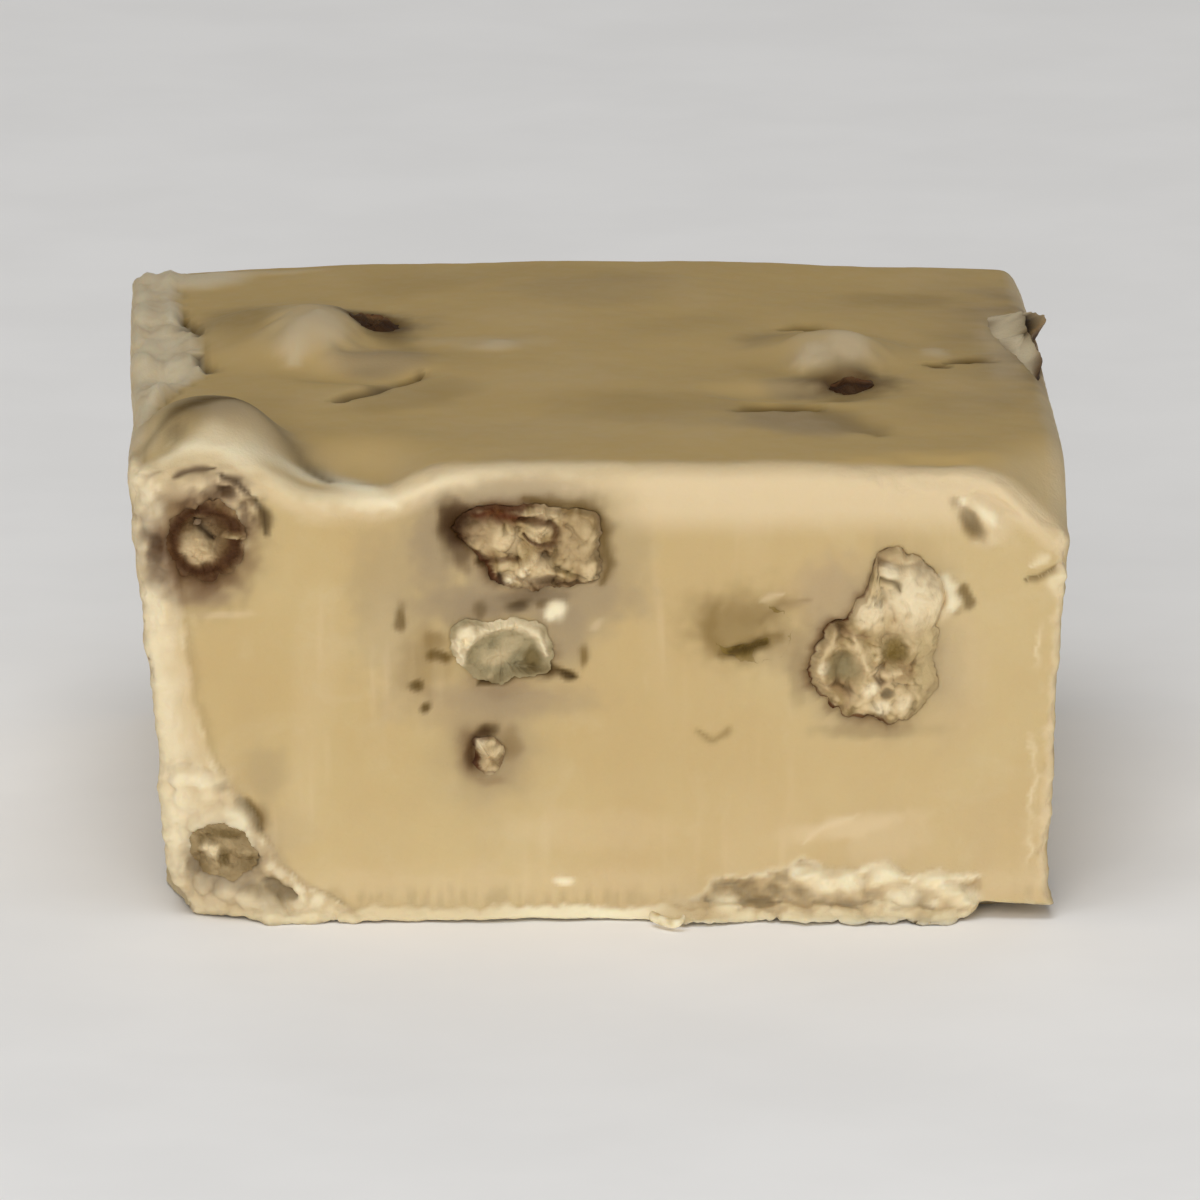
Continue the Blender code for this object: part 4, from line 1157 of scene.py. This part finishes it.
# Pecan lying just under the poured top shows through it in grey and lifts it in lumps, painted
# pale as highlights. The dark line round the front left swelling is painted shade behind it, the
# dark lines along the top's creases are painted shade, and the white line along the front edge is
# the whitish lip with a painted highlight.
TOP_MARKS = (
    spot(14.0, -19.0, 3.6, 1.5, rise=-0.35),
    spot(-15, -15.4, 2.5, 2.3, wipe=0.5, grey=0.6, tan=0.3, rise=0.12),
    spot(-14.9, -15.9, 1.5, 1.2, tan=0.5, pale=0.2),
    spot(-17.1, -16.6, 0.9, 1.2, wipe=0.5, olive=0.6),
    # The whitish lip along the front edge, with a painted highlight.
    line(0.65, (-17.6, -18), (-16.2, -17.9), (-14.6, -17.9), (-13.4, -17.3), (-12.2, -16.9),
         (-10.6, -17.3), (-9.4, -18.2), (-8.3, -18.7), wipe=0.9, white=1.0, rise=0.12),
    # Painted shade behind the swelling over the front left corner piece.
    line(0.7, (-18.7, -16.6), (-17.8, -16.3), (-16.8, -15.2), (-15.9, -14.2), (-14.9, -13.8),
         (-14, -14), (-13.2, -14.7), (-12.5, -15.5), (-11.7, -16.5), (-11, -17.2), wipe=0.6,
         dark=0.4, olive=0.9, rise=-0.06),
    spot(-17.2, -16.9, 0.35, 0.5, wipe=0.5, dark=0.4, olive=0.95, rise=-0.12),
    spot(-16.2, 16.9, 1.5, 1.2, 20, wipe=0.6, pale=0.9, white=0.4, rise=0.2),
    spot(-13.6, 17.9, 2.4, 0.4, pale=0.5, rise=0.06),
    # The lump over the pecan at the left, with painted highlights.
    spot(-11.6, 3, 1.5, 3.4, pale=0.5, rise=0.55),
    line(0.6, (-11.3, 3.4), (-11.9, 1.6), (-12.2, 0.2), (-12.3, -1.3), pale=0.85, rise=0.16),
    spot(-10.9, 1.8, 0.5, 1.6, pale=0.7, rise=0.1),
    spot(-8.8, -0.9, 1.9, 1.5, wipe=0.4, tan=0.5, grey=0.35, rise=0.25),
    line(0.5, (-10.4, -7.3), (-8.75, -5.3), (-7.1, -2.4), dark=0.55, olive=0.8, rise=-0.35),
    spot(-7.2, -6.9, 3.0, 1.4, 40, olive=0.3),
    spot(-8.9, 5.6, 1.0, 3.4, 18, olive=0.6, dark=0.2),
    spot(-3.8, 1.6, 0.8, 0.8, pale=0.7, rise=0.1),
    spot(-4.2, 2.4, 2.6, 0.9, -8, pale=0.3, rise=0.05),
    line(0.34, (-17, 9.4), (-16.75, 7), (-16.3, 4.6), dark=0.6, olive=0.9, rise=-0.3),
    line(0.3, (-16.3, 1.6), (-15.9, -1.2), dark=0.65, olive=0.8, rise=-0.25),
    spot(-14.6, 6.6, 1.4, 3.4, olive=0.4),
    # The lump over the pecan at the right, with painted highlights.
    spot(10.25, -1.2, 1.5, 2.1, pale=0.45, rise=0.55),
    spot(9.35, -2.2, 0.7, 0.9, pale=0.85, rise=0.16),
    spot(10.75, -1.3, 0.6, 1.2, pale=0.8, rise=0.12),
    line(0.5, (8.35, 5.1), (9.5, 5.7), (10.65, 3.2), dark=0.5, olive=0.7, rise=-0.25),
    spot(7.65, 2.4, 1.2, 1.6, olive=0.3, tan=0.2),
    spot(8.65, -5.2, 1.2, 1.2, grey=0.55),
    line(0.5, (6.05, -9.9), (7.05, -9), (9.05, -9.3), dark=0.6, olive=0.8, rise=-0.35),
    line(0.9, (9.05, -9.3), (10.05, -10.6), (11.65, -13.4), olive=0.5, rise=-0.12),
    spot(8.25, -11.6, 2.4, 1.7, -28, wipe=0.3, tan=0.4, grey=0.5),
    line(0.3, (14.3, -0.9), (15, -1.3), dark=0.5, olive=0.9, rise=-0.2),
    line(0.36, (15.2, -0.4), (16, 0.3), (16.9, 0), dark=0.55, olive=0.9, rise=-0.25),
    spot(14.6, 1.2, 0.5, 0.8, pale=0.6, rise=0.1),
    spot(0.6, 12.4, 3.0, 3.0, grey=0.25),
    spot(13.65, 12, 2.4, 1.6, 35, olive=0.25),
    spot(2.5, -9.5, 3.4, 2.4, -20, olive=0.25),
    spot(-2, -12.5, 4.4, 2.0, 8, pale=0.12),
    spot(-2, -4.5, 3.4, 1.6, 12, pale=0.12),
)


def poured_top(canvas, up, sideways, level):
    """The poured surface: smooth and darker than the cuts, with a burr along its left edge.

    The burr has painted shade along its inner border and in the creases between its grains.
    """
    places = canvas.places
    swirl = ripple(places + 2.2 * np.column_stack((ripple(places, 7, 1.9),) * 3), 5.5, 8.8)
    torn = crumble(places * (1, 0.3, 1), 1.4, 9.4, 4)
    from_side = abs(sideways).max() - abs(sideways)
    from_end = abs(level).max() - abs(level)
    poured = smooth_step(0.2, 0.9, np.minimum(from_side, from_end) + 0.2 * torn)
    canvas.add(poured, smooth=1.0)
    canvas.add(1 - poured, pale=0.5)
    canvas.add(smooth_step(0.15, 0.6, swirl), pale=0.12)
    canvas.add(smooth_step(0.2, 0.7, ripple(places, 6.0, 14.2)), olive=0.16)
    canvas.height += 0.05 * crumble(places, 4.5, 3.9, 4) + 0.035 * swirl
    in_from = canvas.across - np.interp(canvas.up, BURR_DEPTHS, BURR_RIGHTS) + 0.3 * torn
    burr = smooth_step(0.25, -0.2, in_from)
    strands = places * (1, 0.3, 1) + 0.3 * torn[:, None]
    lumps, fine = grains(strands, 0.8, 5.2), grains(strands, 0.35, 9.2)
    canvas.add(burr, wipe=0.8, pale=0.9, rise=0.12)
    waves = ripple(places * (0.4, 1, 1), 3.6, 21.1)
    canvas.height += burr * (0.3 * lumps + 0.14 * fine - 0.3 + 0.42 * waves)
    canvas.add(burr * smooth_step(-0.6, 0.3, torn), white=0.6)
    # Painted shade in the creases between the burr's grains.
    canvas.add(burr * smooth_step(0.6, 0.3, fine), olive=0.15)
    canvas.add(ridge(in_from, -0.4, 0.35), pale=0.6, white=0.2, rise=0.16)
    shade = ridge(in_from, 0.3, 0.25) * smooth_step(-0.5, 0.4, torn)
    canvas.add(shade, olive=0.5, rise=-0.12)
    canvas.paint(TOP_MARKS)


# The number, raggedness and coarseness of each face's canvas, and what paints it.
PAINTERS = {
    "front": (1, 0.07, 1.0, front_face),
    "left": (2, 0.07, 1.5, side_face("left", 2)),
    "right": (3, 0.07, 1.5, side_face("right", 3)),
    "back": (4, 0.07, 1.5, side_face("back", 4)),
    "top": (6, 0.2, 2.6, poured_top),
}


def dressed(points, normals, box_points):
    """The block's points with the relief of each face, and their tones."""
    height = np.zeros(len(points))
    tone = blank_tones(len(points))
    total = np.full(len(points), 1e-6)
    for face, (seed, ragged, coarse, paint) in PAINTERS.items():
        across, up, out = (np.array(way, float) for way in FACES[face])
        share = np.clip(normals @ out, 0, 1) ** 2
        near = np.flatnonzero(share > 0.001)
        canvas = Canvas(points[near] @ across, points[near] @ up, seed, ragged, coarse)
        paint(canvas, points[near] @ up, box_points[near] @ across, box_points[near] @ up)
        total[near] += share[near]
        height[near] += share[near] * canvas.height
        for channel in CHANNELS:
            tone[channel][near] += share[near] * canvas.tone[channel]
    above = smooth_step(0.0, 0.15, points[:, 2])
    moved = points + normals * (height * above)[:, None]
    moved[:, 2] = np.maximum(moved[:, 2], 0)
    return moved, {c: tone[c] / total for c in CHANNELS}


def add_sockets(points, normals, tone):
    """The fudge sinks under each pecan piece, and is marked round it: grey where the piece shows
    through, and the red of its skin with painted shade of the gap at its rim.
    """
    sunk = np.zeros(len(points))
    for pecan in PECANS:
        across = points @ pecan.across - pecan.middle[0]
        up = points @ pecan.up - pecan.middle[1]
        close = np.hypot(across / pecan.squash, up) < MARKS_REACH
        near = np.flatnonzero((normals @ pecan.out > 0.3) & close)
        across, up = across[near], up[near]
        inside = pecan.inside(across, up)
        edge = pecan.edge(across, up)
        canvas = Canvas(across, up, pecan.seed, ragged=0.11)
        patchy = np.clip(0.7 + 0.7 * ripple(canvas.places, 1.3, 5.5), 0, 1)
        bare = 1 - pecan.veiled
        outside = np.maximum(-inside, 0)
        canvas.add(ridge(outside, 0, 0.75) * patchy * bare, grey=0.5)
        # The red of the skin, with painted shade of the gap at the rim.
        gap_shade_and_skin = ridge(outside, 0, 0.26) * edge
        canvas.add(gap_shade_and_skin * patchy * bare, red=0.5, olive=0.3, dark=0.4)
        canvas.paint(pecan.fudge_marks)
        socket = smooth_step(-0.08, 0.3, inside) * SOCKET_DEPTH * bare
        sunk[near] = np.maximum(sunk[near], socket) - canvas.height
        for channel in CHANNELS:
            tone[channel][near] = 1 - (1 - tone[channel][near]) * (1 - canvas.tone[channel])
    return points - normals * sunk[:, None]


# ---- the shaving


SHAVING_PATH = ((2.0, -19.1, 0.45), (2.5, -19.8, 0.36), (3.0, -20.2, 0.3), (3.35, -20.2, 0.45),
                (3.4, -19.95, 0.7))
SHAVING_STEPS = 33
SHAVING_AROUND = 12
SHAVING_RADIUS = 0.17


def make_curl(material):
    """A shaving that curls out from the foot of the front: a tapered ribbon."""
    path = np.array(SHAVING_PATH)
    steps = np.linspace(0, len(path) - 1, SHAVING_STEPS)
    middle = np.column_stack([np.interp(steps, np.arange(len(path)), path[:, i]) for i in range(3)])
    middle = np.array([middle[max(i - 4, 0):i + 5].mean(axis=0) for i in range(len(middle))])
    around = SHAVING_AROUND
    thick = SHAVING_RADIUS * np.sqrt(np.clip(1 - (steps / steps[-1]) ** 2, 0.02, 1))
    turn = np.linspace(0, TAU, around, endpoint=False)
    side = np.cross(np.gradient(middle, axis=0), (0, 0, 1))
    side /= np.linalg.norm(side, axis=1)[:, None]
    c, s = np.cos(turn)[None, :, None], np.sin(turn)[None, :, None]
    ring = c * side[:, None] + 1.3 * s * np.array((0, 0, 1.0))
    points = (middle[:, None] + thick[:, None, None] * ring).reshape(-1, 3)
    points *= 1 + 0.004 * ripple(points, 0.3, 2.0)[:, None]
    polygons = [tuple(range(around))[::-1]]
    for low in range(0, len(points) - around, around):
        high = low + around
        for i in range(around):
            j = (i + 1) % around
            polygons.append((low + i, low + j, high + j, high + i))
    polygons.append(tuple(range(len(points) - around, len(points))))
    tone = blank_tones(len(points))
    tone["white"] = smooth_step(-0.6, 0.3, ripple(points, 0.4, 8.0))
    return new_mesh("fudge_shaving", points, polygons, material, tone)


# ---- materials


class Shader:
    """A node material, built from its inputs up to its Principled BSDF."""

    def __init__(self, name):
        self.material = bpy.data.materials.new(name)
        self.material.use_nodes = True
        self.tree = self.material.node_tree
        self.surface = self.tree.nodes["Principled BSDF"]

    def node(self, kind, settings=None, **inputs):
        made = self.tree.nodes.new(kind)
        for name, value in (settings or {}).items():
            setattr(made, name, value)
        for name, value in inputs.items():
            self.feed(made.inputs[name.replace("_", " ")], value)
        return made

    def feed(self, socket, value):
        if isinstance(value, bpy.types.NodeSocket):
            self.tree.links.new(value, socket)
        else:
            socket.default_value = value

    def noise(self, length, detail=3.0, roughness=0.55, distortion=0.0, stretch=(1, 1, 1)):
        """Noise from 0 to 1 with features `length` mm across."""
        placed = self.node("ShaderNodeMapping", Vector=self.places(), Scale=stretch)
        made = self.node("ShaderNodeTexNoise", Vector=placed.outputs["Vector"],
                         Scale=1 / (length * MM), Detail=detail, Roughness=roughness,
                         Distortion=distortion)
        return made.outputs["Fac"]

    def places(self):
        return self.node("ShaderNodeTexCoord").outputs["Object"]

    def span(self, value, low, high, to_low=0.0, to_high=1.0):
        made = self.node("ShaderNodeMapRange", {"interpolation_type": "SMOOTHSTEP"}, Value=value)
        names = ("From Min", "From Max", "To Min", "To Max")
        for name, number in zip(names, (low, high, to_low, to_high)):
            made.inputs[name].default_value = number
        return made.outputs["Result"]

    def blend(self, share, under, over, kind="MIX"):
        made = self.node("ShaderNodeMix", {"data_type": "RGBA", "blend_type": kind})
        for index, value in ((0, share), (6, under), (7, over)):
            self.feed(made.inputs[index], (*value, 1.0) if isinstance(value, tuple) else value)
        return made.outputs[2]

    def sum_of(self, operation, a, b):
        made = self.node("ShaderNodeMath", {"operation": operation})
        self.feed(made.inputs[0], a)
        self.feed(made.inputs[1], b)
        return made.outputs["Value"]

    def times(self, a, b):
        return self.sum_of("MULTIPLY", a, b)

    def plus(self, a, b):
        return self.sum_of("ADD", a, b)

    def tones(self):
        """The share of each channel at the point."""
        found = []
        for name in ("tone", "tint"):
            layer = self.node("ShaderNodeAttribute", {"attribute_name": name})
            parts = self.node("ShaderNodeSeparateColor", Color=layer.outputs["Color"])
            found += [*parts.outputs[:3], layer.outputs["Alpha"]]
        return dict(zip(CHANNELS, found))

    def layered(self, colour, over):
        """The colour with each channel's own colour over it, in the order given."""
        shares = self.tones()
        for channel, own in over.items():
            colour = self.blend(shares[channel], colour, own)
        return colour

    def bump(self, height, distance, strength=1.0):
        made = self.node("ShaderNodeBump", Height=height, Distance=distance * MM, Strength=strength)
        self.feed(self.surface.inputs["Normal"], made.outputs["Normal"])

    def finish(self, **inputs):
        for name, value in inputs.items():
            self.feed(self.surface.inputs[name.replace("_", " ")], value)
        return self.material


FUDGE = (0.648, 0.489, 0.236)
FUDGE_DEEP = (0.620, 0.448, 0.206)
FUDGE_PALE = (0.712, 0.580, 0.340)
FUDGE_OVER = {
    "smooth": (0.712, 0.496, 0.196),
    "tan": (0.536, 0.380, 0.208),
    "grey": (0.368, 0.276, 0.164),
    "olive": (0.225, 0.134, 0.026),
    "pale": (0.820, 0.650, 0.400),
    "white": (1.000, 0.870, 0.600),
    "red": (0.152, 0.046, 0.014),
    "dark": (0.044, 0.019, 0.003),
}
FLESH = (0.540, 0.400, 0.192)
FLESH_DEEP = (0.390, 0.268, 0.108)
PECAN_OVER = {
    "smooth": (0.560, 0.424, 0.200),
    "tan": (0.400, 0.250, 0.122),
    "grey": (0.344, 0.294, 0.170),
    "olive": (0.216, 0.136, 0.024),
    "pale": (0.810, 0.622, 0.355),
    "white": (1.000, 0.845, 0.560),
}
SKIN = (0.136, 0.028, 0.005)
SKIN_LIGHT = (0.230, 0.076, 0.018)
HOLLOW = (0.030, 0.012, 0.002)


def fudge_material():
    shader = Shader("fudge")
    colour = shader.blend(shader.span(shader.noise(8.0), 0.35, 0.65), FUDGE, FUDGE_DEEP)
    veins = shader.noise(2.2, 4.0, distortion=0.6)
    colour = shader.blend(shader.span(veins, 0.52, 0.75, 0.0, 0.2), colour, FUDGE_PALE)
    grains = shader.noise(0.2, 2.0)
    colour = shader.blend(shader.span(grains, 0.58, 0.8, 0.0, 0.14), colour, FUDGE_DEEP)
    colour = shader.layered(colour, FUDGE_OVER)
    relief = shader.plus(shader.noise(0.14, 4.0, 0.6), shader.times(shader.noise(0.8, 3.0), 1.6))
    roughened = shader.span(shader.tones()["smooth"], 0.0, 1.0, 0.8, 0.12)
    shader.bump(shader.times(relief, roughened), 0.03)
    return shader.finish(
        Base_Color=colour,
        Roughness=shader.span(shader.noise(0.8), 0.3, 0.7, 0.46, 0.62),
        Subsurface_Weight=0.25,
        Subsurface_Radius=(1.0, 0.6, 0.3),
        Subsurface_Scale=1.0 * MM,
        Specular_IOR_Level=0.12,
    )


def pecan_material():
    shader = Shader("pecan")
    colour = shader.blend(shader.span(shader.noise(0.9, 4.0), 0.38, 0.66), FLESH, FLESH_DEEP)
    colour = shader.layered(colour, PECAN_OVER)
    skin = shader.blend(shader.span(shader.noise(0.5, 3.0), 0.4, 0.7), SKIN, SKIN_LIGHT)
    shares = shader.tones()
    colour = shader.blend(shares["red"], colour, skin)
    colour = shader.blend(shares["dark"], colour, HOLLOW)
    shader.bump(shader.plus(shader.noise(0.12, 4.0, 0.65), shader.noise(0.45, 3.0)), 0.05)
    return shader.finish(
        Base_Color=colour,
        Roughness=shader.span(shares["smooth"], 0.0, 1.0, 0.6, 0.45),
        Subsurface_Weight=0.15,
        Subsurface_Radius=(1.0, 0.6, 0.35),
        Subsurface_Scale=0.6 * MM,
        Specular_IOR_Level=0.15,
    )


# ---- the setting

CAMERA_TURN = -1.5
CAMERA_RISE = 13.2
CAMERA_AWAY = 600.0  # from the front cut face
FRAME_WIDTH = 48.8  # how much of that face's plane the picture spans
CAMERA_AIM = (0.4, 13.65)  # behind the foremost solid, and above the floor
SENSOR = 36.0
WORLD_LIGHT = 0.20


def pointing(obj, place, at):
    obj.location = place
    obj.rotation_euler = (at - place).to_track_quat("-Z", "Y").to_euler()
    return obj


def direction(turn, rise):
    turn, rise = math.radians(turn), math.radians(rise)
    level = math.cos(rise)
    return Vector((math.sin(turn) * level, -math.cos(turn) * level, math.sin(rise)))


def add_camera():
    aim = Vector((0, CAD_BOX[0][1] + CAMERA_AIM[0] * MM, CAMERA_AIM[1] * MM))
    data = bpy.data.cameras.new("camera")
    data.sensor_width = SENSOR
    data.lens = SENSOR * CAMERA_AWAY / FRAME_WIDTH
    data.clip_start = 0.01
    camera = bpy.data.objects.new("camera", data)
    pointing(camera, aim + CAMERA_AWAY * MM * direction(CAMERA_TURN, CAMERA_RISE), aim)
    bpy.context.scene.collection.objects.link(camera)
    bpy.context.scene.camera = camera


def add_light(name, turn, rise, away, size, power, in_gloss=True, only_on=None):
    """A square light that points at the square's middle, and may shine on one object only."""
    data = bpy.data.lights.new(name, "AREA")
    data.size = size
    data.energy = power
    light = bpy.data.objects.new(name, data)
    aim = Vector((0, 0, THICKNESS * MM / 2))
    pointing(light, aim + away * direction(turn, rise), aim)
    light.visible_glossy = in_gloss
    bpy.context.scene.collection.objects.link(light)
    if only_on is not None:
        lit = bpy.data.collections.new(name + "_lights")
        lit.objects.link(only_on)
        light.light_linking.receiver_collection = lit


def add_floor():
    shader = Shader("floor")
    grain = shader.span(shader.noise(14.0), 0.3, 0.7)
    material = shader.finish(
        Base_Color=shader.blend(grain, (0.80, 0.79, 0.775), (0.83, 0.82, 0.805)),
        Roughness=0.85,
    )
    bpy.ops.mesh.primitive_plane_add(size=4.0, location=(0, 0, 0))
    floor = bpy.context.object
    floor.name = "floor"
    floor.data.materials.append(material)
    return floor


def add_world():
    world = bpy.data.worlds.new("studio")
    world.use_nodes = True
    world.node_tree.nodes["Background"].inputs["Color"].default_value = (1, 1, 1, 1)
    world.node_tree.nodes["Background"].inputs["Strength"].default_value = WORLD_LIGHT
    bpy.context.scene.world = world


def set_stage():
    add_camera()
    add_world()
    floor = add_floor()
    # The turn and rise in degrees, how far away and how wide in m, and the power in W.
    add_light("key", -6, 22, 0.8, 0.45, 3.5)
    add_light("floor_fill", -20, 70, 0.9, 0.7, 4.2, in_gloss=False, only_on=floor)
    add_light("back_fill", 172, 10, 0.9, 0.8, 2.75, in_gloss=False)
    bpy.context.scene.view_settings.view_transform = "Standard"


# ---- all of it


def main():
    box_points, polygons = block_lattice()
    points = block_points(box_points)
    points, tone = dressed(points, normals_of(points, polygons), box_points)
    normals = normals_of(points, polygons)
    tree = BVHTree.FromPolygons(points.tolist(), polygons)
    nut = pecan_material()
    for pecan in PECANS:
        piece = make_pecan(pecan, tree, nut)
        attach(piece, "root")
        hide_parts(pecan.name)
    points = add_sockets(points, normals, tone)
    plain_fudge = fudge_material()
    fudge = new_mesh("fudge_square", points, polygons, plain_fudge, tone)
    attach(fudge, "root")
    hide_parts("fudge")
    shaving = make_curl(plain_fudge)
    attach(shaving, "root")
    set_stage()


main()
